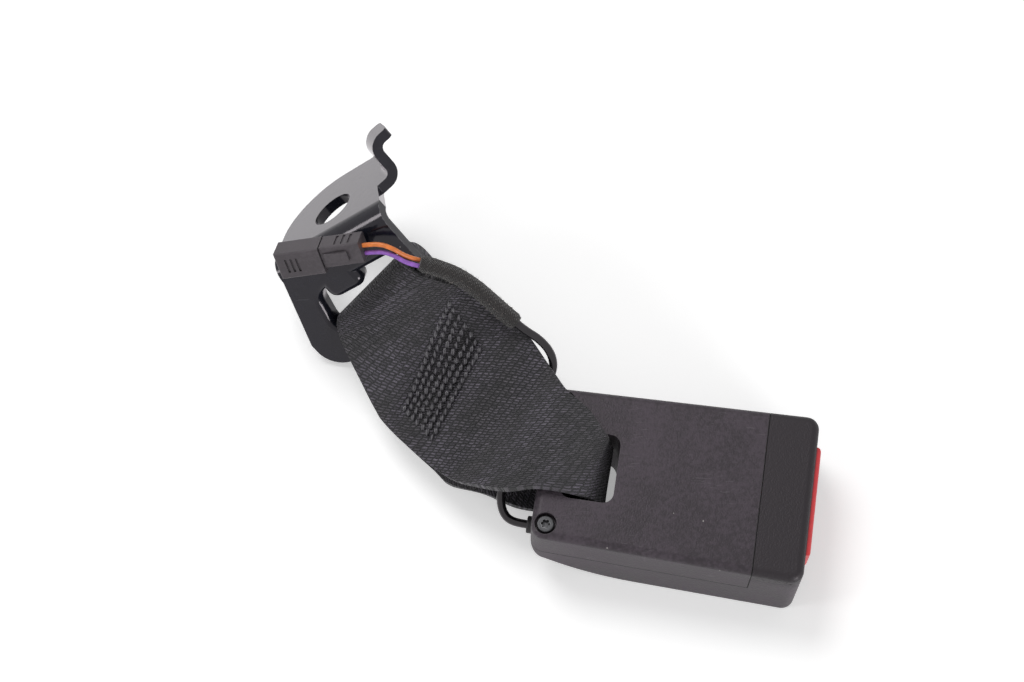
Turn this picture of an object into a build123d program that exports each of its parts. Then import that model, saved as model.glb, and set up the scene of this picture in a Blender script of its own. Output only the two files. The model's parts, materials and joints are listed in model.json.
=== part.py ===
from build123d import *
from math import atan, cos, degrees, radians, sin, tan
import os

# Rear seat belt buckle: a steel anchor bracket, a sewn webbing loop and a push-button buckle
# with its switch harness. Millimetres, +Z up, lying on its underside.
# Three frames are used. BUCKLE: x from the strap end to the button, y across, z up from the floor.
# BRACKET: x along the bend, the slot flange runs along -y, the bolt flange runs along -z.
# STRAP stations are written in the frame of the bar that they pass round.

# ---------------------------------------------------------------- housing
HOUSING_LENGTH = 74.2
STRAP_END_WIDTH = 43.6
BUTTON_END_WIDTH = 48.0
HOUSING_DEPTH = 26.0
WALL = 1.8                      # moulded wall
PARTING_HEIGHT = 13.0           # side seam between rear cover and front shell
RING_LENGTH = 13.9              # one-piece end of the front shell round the button
RAMP_LENGTH = 30.0              # underside lifts over this length towards the strap
RAMP_KNEE = (4.5, 7.6)          # where the long ramp arc meets the rounded nose
STRAP_CORNER_R = 3.9
BUTTON_CORNER_R = 3.5
TOP_EDGE_R = 2.2
BOTTOM_EDGE_R = 1.6
SEAM_GAP = 0.15                 # open line between the two mouldings

# webbing slot through the housing, behind its bar
BAR_WIDTH = 6.2
SLOT_LENGTH = 14.7
SLOT_WIDTH = 19.8
SLOT_WALL = 1.2
SLOT_CORNER_R = 3.0
BAR_UNDERSIDE = 10.4            # height of the bar's underside, lifted clear of the webbing
BAR_RELIEF_WIDTH = 23.0

# cover screws, one in each strap-end corner
SCREW_INSET = 3.9
SCREW_HEAD_R = 2.35
SCREW_HEAD_H = 1.7
SCREW_SHANK_R = 1.1
SCREW_LENGTH = 13.5
RECESS_R = 3.0
RECESS_DEPTH = 2.4
BOSS_WALL = 1.2
BOSS_R = 2.4

# ---------------------------------------------------------------- buckle frame and mechanism
FRAME_T = 2.5                   # steel gauge
FRAME_BASE = 7.4                # underside of the base plate under the tongue
FRAME_STEP = 4.9                # the tail is cranked up by this much
FRAME_TAIL_WIDTH = 29.0
FRAME_BODY_WIDTH = 29.6         # over the two ears
FRAME_FRONT = HOUSING_LENGTH - 8.2
CRANK_START = 23.4
CRANK_LENGTH = 6.0
EAR_START = HOUSING_LENGTH - 41.2
EAR_END = HOUSING_LENGTH - 17.2
EAR_TOP = HOUSING_DEPTH - WALL - 1.8
EAR_T = 2.0
CLEAR = 0.3                     # between pieces of one mechanism
RUN = 0.05                      # radial running clearance of a pin in its hole

TONGUE_T = 2.6
TONGUE_WIDTH = 26.0
TONGUE_CLEAR = 0.6              # the mouth's clearance over the tongue, on each dimension

LATCH_PIVOT = (HOUSING_LENGTH - 38.2, 15.2)  # x, z of the latch's pin
LATCH_PIN_R = 1.25
LATCH_T = 2.0
LATCH_WIDTH = 20.0
LATCH_FRONT = HOUSING_LENGTH - 18.2
LATCH_NOSE_W = 9.0
NOSE_CLEAR = 0.1                # between the raised nose and the tongue passing under it
CHEEK_T = 1.6

LOCK_BAR_R = 1.5
LOCK_BAR_X = HOUSING_LENGTH - 30.6
LOCK_BAR_Z = 19.4
LOCK_TRAVEL = 5.0

EJECT_TRAVEL = 9.0
EJECT_FRONT = HOUSING_LENGTH - 13.2
EJECT_LENGTH = 12.0
EJECT_WIDTH = 19.0
EJECT_T = 2.2
EJECT_STEM_W = 6.0
EJECT_STEM_L = 8.0
EJECT_STEM_DROP = 3.9           # below the base plate

BUTTON_TRAVEL = 4.5
BUTTON_WIDTH = 31.2
BUTTON_BOTTOM = 14.3
BUTTON_TOP = HOUSING_DEPTH - 2.1
BUTTON_DEPTH = 12.2
BUTTON_PROUD = 1.3              # stands out past the end of the housing
BUTTON_WALL = 1.5
BUTTON_CLEAR = 0.3
ARM_LENGTH = 22.5
ARM_T = 1.8
ARM_HEIGHT = 6.4
LUG_T = 1.8

SPRING_WIRE = 0.5
EJECT_SPRING_R = 1.9
BUTTON_SPRING_CLEAR = 0.6       # on each side of the button's springs
SPRING_TURNS = 6

SPRING_SEAT_X = HOUSING_LENGTH - 26.6  # face of the cover's seats for the button's springs
REAR_RIB_X = HOUSING_LENGTH - 40.2     # rib that the ejector's spring bears on
FRONT_RIB_X = HOUSING_LENGTH - 15.2
RIB_T = 1.2

SWITCH_SIZE = (13.0, 6.0, 4.4)
SWITCH_WALL = 0.8
SWITCH_GAP = 1.2                # between the switch and the passing magnet
MAGNET_SIZE = (4.0, 2.0, 2.0)
CABLE_ENTRY = (-13.9, 10.2)     # y, z of the cable's hole in the nose
GROMMET_R = 1.7
GROMMET_LENGTH = 5.0
COLLAR_R = 2.4
COLLAR_T = 1.4
LEADS_R = 0.9
LEAF_T = 0.4
LEAF_WIDTH = 8.0
LEAF_BACK = 6.0                 # the leaf starts this far behind the latch's pin
LEAF_LENGTH = 8.0
LEAF_SLOPE = 2.5
LEAF_TOE = 2.3

# ---------------------------------------------------------------- anchor bracket
PLATE_T = 3.0
BEND_R = 5.5                    # outside radius of the 90 degree bend
BEND_LENGTH = 39.0
SLOT_FLANGE_LENGTH = 37.5
SLOT_FLANGE_FLARE = 7.8         # how far its outer side widens towards the bar
SLOT_FLANGE_CORNER_R = 8.0
STRAP_SLOT_TOP = 13.9
STRAP_SLOT_HEIGHT = 14.6
STRAP_SLOT_RIGHT = 3.2
STRAP_SLOT_LENGTH = 33.4
STRAP_SLOT_SLANT = 3.6
STRAP_SLOT_R = 4.6
LIP_WIDTH = 3.0                 # rolled lip round the slot
LIP_DROP = 2.2
LIP_ROLL_R = 2.4
LOBE_RIGHT = 18.0               # tongue of the plate that carries the connector
LOBE_WIDTH = 12.6
LOBE_DROP = 4.3
LOBE_CORNER_R = 3.2
BOLT_FLANGE_LENGTH = 35.6
BOLT_R = 6.25
BOLT_FROM_SIDE = 20.7
BOLT_FROM_BEND = 16.3
BOLT_MARGIN = 12.45             # steel round the bolt hole
TAB_WIDTH = 7.5
TAB_REACH = 6.4
TAB_RISE = 11.0
TAB_TIP = 6.2
TAB_BEND_R = 3.4
TAB_ANGLE = 33.7                # from the bend's direction
TAB_ROOT = (5.6, 18.0)          # from the side, from the bend

BAR_AXIS = (32.9, -2.0)         # middle of the strap's bar: distance from the bend, height
CLIP_T = 1.1
CLIP_HOLE_R = 2.1
CLIP_AT = (7.0, -2.5)           # peg of the connector's clip, along and across the connector
CLIP_HEAD_R = 2.6

# ---------------------------------------------------------------- connector
CONNECTOR_AT = Location((-20.5, -3.0, 0), (0, 0, -21.5))
SOCKET_START = -12.2
SOCKET_END = 1.0
SOCKET_SIDES = (-2.8, 5.6)
SOCKET_TOP = 7.8
SOCKET_WALL = 1.3
PLUG_END = 12.8
PLUG_SIDES = (-1.4, 5.4)
PLUG_TOP = 7.2
PLUG_NOSE = 7.0
PLUG_FIT = 0.1
PIN_R = 0.4
PIN_PITCH = 2.6

# ---------------------------------------------------------------- webbing
WEBBING_T = 1.4                 # flat webbing
SEWN_T = 2.8                    # two thicknesses sewn together
FOLDED_T = 2.4                  # edges folded under, round the bracket's bar
LAYER_GAP = 0.7
FORK_GAP = 3.4                  # between the layers where they part towards the bracket
LOOP_ANGLE = 32.5               # the strap leaves the bar at this angle above the slot flange
LOOP_R = 8.0                    # middle of the webbing round the bar
LOOP_REACH = 16.2               # the same at the loop's loose side
LOOP_SIDES = (-34.3, -4.7)      # along the bar
# upper layer's top surface from bracket to buckle: left edge, right edge, thickness
STRAP_STATIONS = (
    ((-40.4, -28.5, 12.5), (-12.5, -0.9, 32.0), 1.8),
    ((-32.3, -34.6, 13.5), (-3.7, -1.6, 26.0), WEBBING_T),
    ((-22.7, -44.1, 16.0), (3.9, -8.4, 25.5), WEBBING_T),
    ((-15.7, -49.4, 18.5), (10.3, -18.2, 25.8), WEBBING_T),
)
BUCKLE_STATIONS = (
    ((-15.3, -9.2, 23.5), (4.2, 20.0, HOUSING_DEPTH + 2.8), 1.8),
    ((-7.8, -10.4, HOUSING_DEPTH + 2.0), (10.8, 15.1, HOUSING_DEPTH + 3.5), 2.0),
    ((0.0, -9.1, HOUSING_DEPTH + 3.3), (14.8, 10.7, HOUSING_DEPTH + 3.4), 2.4),
    ((9.2, -9.1, HOUSING_DEPTH + 2.6), (16.8, 9.1, HOUSING_DEPTH + 2.2), 2.6),
    ((15.2, -8.8, HOUSING_DEPTH - 0.8), (18.0, 8.8, HOUSING_DEPTH - 1.8), 2.4),
)
SLOT_APEX = ((18.8, -8.6, 18.0), (18.8, 8.6, 18.0), 2.4)
# lower layer's top surface, from the bracket to the buckle
UNDER_STATIONS = (
    ((-22.8, -5.6, 14.6), (-3.2, 24.6, 18.6), SEWN_T),
    ((-13.6, -7.9, 12.8), (-3.4, 13.6, 15.2), 2.6),
    ((-4.4, -9.2, 10.3), (-1.8, 9.2, 10.1), 2.4),
    ((4.0, -8.7, 9.4), (4.0, 8.7, 9.4), 2.4),
    ((10.5, -8.6, 9.8), (10.5, 8.6, 9.8), 2.4),
    ((16.2, -8.6, 13.8), (16.2, 8.6, 13.8), 2.4),
)

# ---------------------------------------------------------------- harness
SLEEVE_R = 2.4
CABLE_R = 1.2
WIRE_R = 0.65
# over the webbing's right edge, then between its layers; the last two runs are the buckle's
SLEEVE_ROUTE = ((-25.5, 5.9, 41.0), (-18.4, 5.2, 38.4), (-11.0, 1.9, 35.6), (-4.7, -2.5, 31.6),
                (1.3, -6.9, 28.9))
CABLE_BEND = ((7.4, -10.9, 27.6), (10.8, -14.0, 25.4), (11.8, -17.6, 22.9), (9.9, -21.8, 21.4),
              (6.0, -28.4, 20.4))
CABLE_IN_BUCKLE = ((-8.3, 10.0, 19.4), (-9.8, 1.5, 18.2), (-10.1, -5.2, 15.9), (-9.9, -8.6, 13.9),
                   (-9.0, -11.4, 12.0), (-7.3, -13.2, 10.8), (-4.7, -13.9, 10.2))

# ---------------------------------------------------------------- where the sub-assemblies lie
BUCKLE_PLANE = Plane(Location((7.9, -45.9, 0), (0, 0, -8.8)))
BRACKET_PLANE = Plane(origin=(-37.4, 16.9, 51.0), x_dir=(0.7824, 0.1734, 0.5981),
                      z_dir=(-0.1668, -0.8670, 0.4696))

MID_Y = Plane.XZ                # side profiles are drawn here: x along, y up


def block(x0, x1, y0, y1, z0, z1):
    """A box between two corners."""
    return Pos((x0 + x1) / 2, (y0 + y1) / 2, (z0 + z1) / 2) * Box(x1 - x0, y1 - y0, z1 - z0)


def side_cut(face, width):
    """A side profile, drawn in x and z, made into a solid of that width about y = 0."""
    return extrude(MID_Y * face, amount=width / 2, both=True)


def shaft(radius, length, x, z):
    """A round bar across the buckle."""
    return Pos(x, 0, z) * Rot(90, 0, 0) * Cylinder(radius, length)


def coil_spring(radius, wire, length, turns):
    """A helical spring along +x from the origin."""
    helix = Helix(pitch=(length - 2 * wire) / turns, height=length - 2 * wire, radius=radius)
    section = Plane(origin=helix @ 0, z_dir=helix % 0) * RegularPolygon(wire, 6)
    coil = sweep(section, path=helix, is_frenet=True)
    return Rot(0, 90, 0) * Pos(0, 0, wire) * coil


# ================================================================ housing mouldings
def half_width(x):
    """Half the housing's width at x."""
    share = x / HOUSING_LENGTH
    return (STRAP_END_WIDTH + (BUTTON_END_WIDTH - STRAP_END_WIDTH) * share) / 2


def housing_plan():
    a, b = STRAP_END_WIDTH / 2, BUTTON_END_WIDTH / 2
    plan = make_face(Polyline((0, -a), (HOUSING_LENGTH, -b), (HOUSING_LENGTH, b), (0, a), close=True))
    strap_end = plan.vertices().group_by(Axis.X)[0]
    plan = fillet(strap_end, STRAP_CORNER_R)
    return fillet(plan.vertices().group_by(Axis.X)[-1], BUTTON_CORNER_R)


def housing_side():
    """Side view: a flat face above, an underside that ramps up to a rounded nose at the strap end."""
    ramp = JernArc((RAMP_LENGTH, 0), (-1, 0), ramp_radius(), -ramp_angle())
    nose = ThreePointArc(ramp @ 1, nose_middle(), (0, PARTING_HEIGHT))
    rest = Polyline((0, PARTING_HEIGHT), (0, HOUSING_DEPTH), (HOUSING_LENGTH, HOUSING_DEPTH),
                    (HOUSING_LENGTH, 0), (RAMP_LENGTH, 0))
    return make_face(ramp + nose + rest)


def ramp_radius():
    run = RAMP_LENGTH - RAMP_KNEE[0]
    return (run ** 2 + RAMP_KNEE[1] ** 2) / (2 * RAMP_KNEE[1])


def ramp_angle():
    run = RAMP_LENGTH - RAMP_KNEE[0]
    return 2 * degrees(atan(RAMP_KNEE[1] / run))


def nose_middle():
    """A point that bulges the nose outward between the ramp and the strap-end wall."""
    return (RAMP_KNEE[0] * 0.27, RAMP_KNEE[1] + (PARTING_HEIGHT - RAMP_KNEE[1]) * 0.42)


def housing_form(inset=0.0):
    """The closed outer form, or the same form moved inward by inset."""
    plan, side = housing_plan(), housing_side()
    if inset:
        plan, side = offset(plan, -inset), offset(side, -inset)
    form = extrude(plan, HOUSING_DEPTH) & side_cut(side, BUTTON_END_WIDTH)
    if not inset:
        top = form.faces().sort_by(Axis.Z)[-1]
        form = fillet(top.edges(), TOP_EDGE_R)
    return form


def slot_solid(grow=0.0):
    """The webbing slot's opening, or that opening grown on all sides."""
    face = RectangleRounded(SLOT_LENGTH + 2 * grow, SLOT_WIDTH + 2 * grow, SLOT_CORNER_R + grow)
    return extrude(Pos(BAR_WIDTH + SLOT_LENGTH / 2, 0, -1) * face, HOUSING_DEPTH + 2)


def bar_relief():
    """The hollow under the bar that the returning layer of webbing passes through."""
    return block(-1, BAR_WIDTH + 1, -BAR_RELIEF_WIDTH / 2, BAR_RELIEF_WIDTH / 2, -1, BAR_UNDERSIDE)


def screw_places():
    y = STRAP_END_WIDTH / 2 - SCREW_INSET
    return [(SCREW_INSET, -y), (SCREW_INSET, y)]


def split_tool(grow=0.0):
    """The space of the rear cover: above the parting plane and behind the end ring."""
    end = HOUSING_LENGTH - RING_LENGTH + grow
    return block(-1, end, -BUTTON_END_WIDTH, BUTTON_END_WIDTH, PARTING_HEIGHT - grow, HOUSING_DEPTH + 1)


def hollow_housing():
    """Both mouldings in one: walls, the lined slot and the screw bosses."""
    outer = housing_form()
    inner = housing_form(WALL)
    lining = slot_solid(SLOT_WALL) & outer
    bosses = Part()
    collar = RECESS_DEPTH + BOSS_WALL
    for x, y in screw_places():
        bosses += Pos(x, y, HOUSING_DEPTH - collar / 2) * Cylinder(RECESS_R + BOSS_WALL, collar)
        bosses += Pos(x, y, HOUSING_DEPTH / 2) * Cylinder(BOSS_R, HOUSING_DEPTH)
    solid = outer - inner + lining + (bosses & outer)
    relief_roof = block(0, BAR_WIDTH + SLOT_WALL, -BAR_RELIEF_WIDTH / 2 - WALL, BAR_RELIEF_WIDTH / 2 + WALL,
                        0, BAR_UNDERSIDE + SLOT_WALL) & outer
    solid = solid + relief_roof - bar_relief() - slot_solid()
    for x, y in screw_places():
        solid -= Pos(x, y, HOUSING_DEPTH - RECESS_DEPTH / 2) * Cylinder(RECESS_R, RECESS_DEPTH + 0.01)
        depth = SCREW_LENGTH + RECESS_DEPTH + CLEAR
        solid -= Pos(x, y, HOUSING_DEPTH - depth / 2) * Cylinder(SCREW_SHANK_R + RUN, depth)
    return solid


def rear_cover(housing):
    """The flat-faced moulding that the screws hold, with the seats of the button's springs inside."""
    cover = housing & split_tool()
    for side in (-1, 1):
        y0, y1 = sorted((side * (arm_outside() + CLEAR), side * (half_width(SPRING_SEAT_X) - WALL / 2)))
        z0, z1 = PARTING_HEIGHT + 1, HOUSING_DEPTH - WALL / 2
        cover += block(SPRING_SEAT_X - RIB_T, SPRING_SEAT_X, y0, y1, z0, z1)
    return cover - frame_room()


def front_shell(housing):
    shell = housing - split_tool(SEAM_GAP)
    shell -= mouth_opening() + button_opening() + cable_entry()
    shell -= frame_room()
    for x in (REAR_RIB_X, FRONT_RIB_X):
        y = half_width(x) - WALL / 2
        shell += block(x, x + RIB_T, -y, y, WALL / 2, FRAME_BASE)
    return shell - leads_room()


def mouth_opening():
    """The opening that the tongue goes into, flared towards the outside."""
    w = TONGUE_WIDTH + TONGUE_CLEAR * 2
    z0 = FRAME_BASE + FRAME_T - TONGUE_CLEAR / 2
    z1 = BUTTON_BOTTOM - BUTTON_CLEAR + 0.01
    hole = block(FRAME_FRONT - 4, HOUSING_LENGTH + 1, -w / 2, w / 2, z0, z1)
    middle, tall = (z0 + z1) / 2, z1 - z0
    inner = Plane.YZ.offset(HOUSING_LENGTH - 3) * Pos(0, middle) * Rectangle(w, tall)
    outer = Plane.YZ.offset(HOUSING_LENGTH + 0.5) * Pos(0, middle - 0.6) * Rectangle(w + 3, tall + 1.2)
    return hole + loft([inner, outer])


def button_opening():
    w = BUTTON_WIDTH + 2 * BUTTON_CLEAR
    return block(HOUSING_LENGTH - WALL - 1, HOUSING_LENGTH + 1, -w / 2, w / 2,
                 BUTTON_BOTTOM - BUTTON_CLEAR, BUTTON_TOP + BUTTON_CLEAR)


def cable_entry():
    """The hole in the nose that the cable's grommet sits in."""
    y, z = CABLE_ENTRY
    return Pos(0, y, z) * Rot(0, 90, 0) * Cylinder(GROMMET_R + RUN, GROMMET_LENGTH * 3)


def leads_room():
    """The notch in the rear rib that the switch leads pass through."""
    y, z = leads_route()[-1][1:]
    return block(REAR_RIB_X - 1, REAR_RIB_X + RIB_T + 1, y - 1.6, y + 1.6, z - 1.4, FRAME_BASE + 1)


# ================================================================ frame and mechanism
def tail_height():
    """Underside of the frame's raised tail."""
    return FRAME_BASE + FRAME_STEP


def cranked_profile(grow=0.0):
    """Side view of the base plate: flat under the tongue, stepped up to the webbing bar."""
    low, high = FRAME_BASE - grow, tail_height() - grow
    t = FRAME_T + 2 * grow
    x0 = SLOT_WALL + 0.3 - grow
    x1, x2, x3 = CRANK_START, CRANK_START + CRANK_LENGTH, FRAME_FRONT + grow
    points = [(x0, high), (x1, high), (x2, low), (x3, low)]
    points += [(x, z + t) for x, z in reversed(points)]
    face = make_face(Polyline(*points, close=True))
    bends = [v for v in face.vertices() if CRANK_START - 1 < v.X < CRANK_START + CRANK_LENGTH + 1]
    return fillet(bends, FRAME_T)


def frame_slot():
    """Opening in the tail, round the housing's slot lining."""
    grow = SLOT_WALL + 0.15
    return slot_solid(grow)


def frame_room():
    """Room that the housing mouldings leave round the frame's tail and base."""
    return side_cut(cranked_profile(0.12), FRAME_TAIL_WIDTH + 0.4) - frame_slot_liner()


def frame_slot_liner():
    return slot_solid(SLOT_WALL)


def ear(side):
    """One upright wall of the channel, with its lock bar slot and pivot hole."""
    y1 = FRAME_BODY_WIDTH / 2
    face = make_face(Polyline((EAR_START, FRAME_BASE), (EAR_END, FRAME_BASE), (EAR_END, EAR_TOP - 3),
                              (EAR_END - 3, EAR_TOP), (EAR_START + 5, EAR_TOP), (EAR_START, EAR_TOP - 3),
                              close=True))
    face = fillet(face.vertices().sort_by(Axis.Y)[-4:], 2.0)
    wall = extrude(MID_Y * face, amount=EAR_T)
    wall = Pos(0, side * (y1 - EAR_T / 2) + EAR_T / 2, 0) * wall
    length = LOCK_TRAVEL + 2 * LOCK_BAR_R + 2 * CLEAR
    middle = Pos(LOCK_BAR_X + LOCK_TRAVEL / 2, LOCK_BAR_Z)
    slot = MID_Y * middle * SlotOverall(length, 2 * LOCK_BAR_R + 2 * RUN)
    wall -= extrude(slot, amount=FRAME_BODY_WIDTH, both=True)
    return wall - shaft(LATCH_PIN_R + RUN, 2 * FRAME_BODY_WIDTH, *LATCH_PIVOT)


def frame_plate():
    """The load path of the buckle: one cranked, U-shaped steel pressing."""
    base = side_cut(cranked_profile(), FRAME_TAIL_WIDTH)
    corners = base.edges().filter_by(Axis.Z).group_by(Axis.X)
    base = fillet(corners[0] + corners[-1], 2.5)
    base -= frame_slot()
    base += ear(-1) + ear(1)
    base -= eject_window() + latch_window()
    return base


def eject_window():
    w = EJECT_STEM_W / 2 + CLEAR
    x0 = EJECT_FRONT - EJECT_LENGTH - EJECT_TRAVEL - CLEAR
    x1 = x0 + EJECT_STEM_L + EJECT_TRAVEL + 2 * CLEAR
    return block(x0, x1, -w, w, FRAME_BASE - 1, FRAME_BASE + FRAME_T + 1)


def latch_window():
    """The nose of the latch drops into this hole behind the tongue's bridge."""
    w = LATCH_NOSE_W / 2 + 0.8
    return block(LATCH_FRONT - 4.2, LATCH_FRONT + 0.8, -w, w, FRAME_BASE - 1, FRAME_BASE + FRAME_T + 1)


def tongue_floor():
    return FRAME_BASE + FRAME_T


def latch_top():
    return LATCH_PIVOT[1] + 2.4


def latch():
    """Hinged steel plate: a hooked nose, and two cheeks whose cam edges run under the lock bar."""
    px, pz = LATCH_PIVOT
    top, back, under = latch_top(), px - 2.2, latch_top() - LATCH_T
    nose_x = LATCH_FRONT - 3.2
    floor = tongue_floor() + TONGUE_T + NOSE_CLEAR
    profile = make_face(Polyline((back, top), (LATCH_FRONT, top), (LATCH_FRONT, floor), (nose_x, floor),
                                 (nose_x, under), (back, under), close=True))
    profile = fillet(profile.vertices().sort_by(Axis.X)[-2:], 0.7)
    plate = side_cut(profile, LATCH_WIDTH)
    for side in (-1, 1):
        y0, y1 = sorted((side * LATCH_NOSE_W / 2, side * LATCH_WIDTH))
        plate -= block(nose_x - 1, LATCH_FRONT + 1, y0, y1, 0, under)
    cam = pz + 4.6
    cheek = make_face(Polyline((back, pz - 1.6), (back, pz + 2.2), (LOCK_BAR_X + 1.6, pz + 2.2),
                               (LOCK_BAR_X + 6.8, cam), (LOCK_BAR_X + 9, cam), (LOCK_BAR_X + 10.5, under),
                               close=True))
    cheek = extrude(MID_Y * cheek, amount=CHEEK_T)
    for y in (-LATCH_WIDTH / 2 + CHEEK_T, LATCH_WIDTH / 2):
        plate += Pos(0, y, 0) * cheek
    return plate - shaft(LATCH_PIN_R + RUN, 2 * LATCH_WIDTH, px, pz)


def latch_pin():
    return shaft(LATCH_PIN_R, FRAME_BODY_WIDTH - 0.4, *LATCH_PIVOT)


def arm_inside():
    return FRAME_BODY_WIDTH / 2 + CLEAR


def arm_outside():
    return arm_inside() + ARM_T


def lock_bar():
    return shaft(LOCK_BAR_R, 2 * arm_outside(), LOCK_BAR_X, LOCK_BAR_Z)


def ejector():
    """Moulded slider: horns that the tongue pushes, a ramp that frees the nose, a stem for its spring."""
    z0 = tongue_floor() + 0.15
    top = z0 + EJECT_T
    x1, x0 = EJECT_FRONT, EJECT_FRONT - EJECT_LENGTH
    body = block(x0, x1, -EJECT_WIDTH / 2, EJECT_WIDTH / 2, z0, top)
    w = LATCH_NOSE_W / 2 + CLEAR
    ramp = make_face(Polyline((x0 + 2.2, top + 0.1), (x1 + 0.1, top + 0.1), (x1 + 0.1, z0 - 0.1),
                              (x1 - 1.6, z0 - 0.1), close=True))
    body -= side_cut(ramp, 2 * w)
    s = EJECT_STEM_W / 2
    stem = block(x0, x0 + EJECT_STEM_L, -s, s, FRAME_BASE - EJECT_STEM_DROP, z0 + 0.1)
    foot = block(x0, x0 + EJECT_STEM_L, -s - 1.5, s + 1.5, FRAME_BASE - EJECT_STEM_DROP, FRAME_BASE - 0.2)
    pocket = sensor_magnet_at(CLEAR / 3)
    return body + stem + foot - pocket


def sensor_magnet_at(grow=0.0):
    l, w, h = (s + 2 * grow for s in MAGNET_SIZE)
    x = EJECT_FRONT - EJECT_LENGTH + EJECT_STEM_L / 2
    z = FRAME_BASE - EJECT_STEM_DROP
    return Pos(x, -EJECT_STEM_W / 2 - 1.5 + w / 2 - grow, z + h / 2 - grow) * Box(l, w, h)


def ejector_spring():
    x0, x1 = REAR_RIB_X + RIB_T, EJECT_FRONT - EJECT_LENGTH
    z = FRAME_BASE - EJECT_STEM_DROP / 2
    coil = coil_spring(EJECT_SPRING_R - SPRING_WIRE / 2, SPRING_WIRE / 2, x1 - x0, SPRING_TURNS)
    return Pos(x0, 0, z) * coil


def button_back():
    return HOUSING_LENGTH + BUTTON_PROUD - BUTTON_DEPTH


def release_button():
    """Hollow red cap with two slotted arms astride the frame and two lugs for its springs."""
    x0, x1 = button_back(), HOUSING_LENGTH + BUTTON_PROUD
    y, z0, z1 = BUTTON_WIDTH / 2, BUTTON_BOTTOM, BUTTON_TOP
    cap = block(x0, x1, -y, y, z0, z1)
    cap = fillet(cap.faces().sort_by(Axis.X)[-1].edges(), 1.2)
    hollow_y = y - BUTTON_WALL
    cap -= block(x0 - 1, x1 - BUTTON_WALL, -hollow_y, hollow_y, z0 + BUTTON_WALL, z1 - BUTTON_WALL)
    for side in (-1, 1):
        y0, y1 = sorted((side * arm_inside(), side * arm_outside()))
        mid = LOCK_BAR_Z
        arm = block(x0 - ARM_LENGTH, x0 + 3, y0, y1, mid - ARM_HEIGHT / 2, mid + ARM_HEIGHT / 2)
        slot_x0 = LOCK_BAR_X - LOCK_BAR_R - CLEAR
        slot_x1 = LOCK_BAR_X + LOCK_TRAVEL + BUTTON_TRAVEL + LOCK_BAR_R + CLEAR
        gap = LOCK_BAR_R + RUN
        arm -= block(slot_x0, slot_x1, y0 - 1, y1 + 1, mid - gap, mid + gap)
        lug_y0, lug_y1 = sorted((side * (y - 0.5), side * (half_width(x0) - WALL - CLEAR)))
        lug = block(x0, x0 + LUG_T, lug_y0, lug_y1, mid - ARM_HEIGHT / 2, mid + ARM_HEIGHT / 2)
        cap += arm + lug
    return cap


def button_springs():
    """One coil each side, from the cover's seats to the button's lugs."""
    inside, outside = arm_outside() + CLEAR, half_width(SPRING_SEAT_X) - WALL
    y = (inside + outside) / 2
    radius = (outside - inside) / 2 - BUTTON_SPRING_CLEAR
    length = button_back() - SPRING_SEAT_X
    coil = coil_spring(radius - SPRING_WIRE / 2, SPRING_WIRE / 2, length, SPRING_TURNS)
    return [Pos(SPRING_SEAT_X, side * y, LOCK_BAR_Z) * coil for side in (-1, 1)]


def latch_spring():
    """Bent strip from the inside of the cover down to the latch's back."""
    roof, t = HOUSING_DEPTH - WALL, LEAF_T
    foot = latch_top() + 0.02
    start = LATCH_PIVOT[0] - LEAF_BACK
    knee = start + LEAF_LENGTH
    toe = knee + LEAF_SLOPE
    face = make_face(Polyline((start, roof), (start, roof - t), (knee - t, roof - t), (toe - 0.6, foot + t),
                              (toe - LEAF_TOE, foot + t), (toe - LEAF_TOE, foot), (toe, foot), (knee, roof),
                              close=True))
    return side_cut(face, LEAF_WIDTH)


def switch_housing():
    l, w, h = SWITCH_SIZE
    x0 = REAR_RIB_X + RIB_T + 1
    y1 = -EJECT_STEM_W / 2 - 1.5 - SWITCH_GAP
    box = block(x0, x0 + l, y1 - w, y1, WALL, WALL + h)
    t = SWITCH_WALL
    return box - block(x0 + t, x0 + l - t, y1 - w + t, y1 - t, WALL + t, WALL + h + 1)


def sensor_board():
    l, w, h = SWITCH_SIZE
    x0 = REAR_RIB_X + RIB_T + 1 + SWITCH_WALL + 0.1
    y1 = -EJECT_STEM_W / 2 - 1.5 - SWITCH_GAP - SWITCH_WALL - 0.1
    z0 = WALL + SWITCH_WALL + 1.0
    board = block(x0, x0 + l - 2 * SWITCH_WALL - 0.2, y1 - w + 2 * SWITCH_WALL + 0.2, y1, z0, z0 + 0.8)
    chip = block(x0 + 8, x0 + 11, y1 - 1.8, y1 - 0.2, z0 + 0.8, z0 + 1.9)
    return board + chip


def cover_screws():
    """Two thread-forming screws with a six-lobe drive."""
    screws = []
    seat = HOUSING_DEPTH - RECESS_DEPTH
    for x, y in screw_places():
        head = Pos(x, y, seat + SCREW_HEAD_H / 2) * Cylinder(SCREW_HEAD_R, SCREW_HEAD_H)
        head = fillet(head.edges().sort_by(Axis.Z)[-1], 0.4)
        drive = Sketch() + [Rot(0, 0, 60 * i) * Pos(0.85, 0) * Circle(0.42) for i in range(6)] + Circle(0.8)
        head -= Pos(x, y, seat + SCREW_HEAD_H - 1.1) * extrude(drive, 2)
        shank = Pos(x, y, seat - SCREW_LENGTH / 2) * Cylinder(SCREW_SHANK_R, SCREW_LENGTH)
        screws.append(head + shank)
    return screws


def grommet():
    """Rubber plug in the nose, with a collar outside."""
    y, z = CABLE_ENTRY
    plug = Pos(GROMMET_LENGTH / 2 - CLEAR, y, z) * Rot(0, 90, 0) * Cylinder(GROMMET_R, GROMMET_LENGTH)
    collar = Pos(-CLEAR - COLLAR_T / 2, y, z) * Rot(0, 90, 0) * Cylinder(COLLAR_R, COLLAR_T)
    return plug + fillet(collar.edges().sort_by(Axis.X)[0], 0.4)


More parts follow.
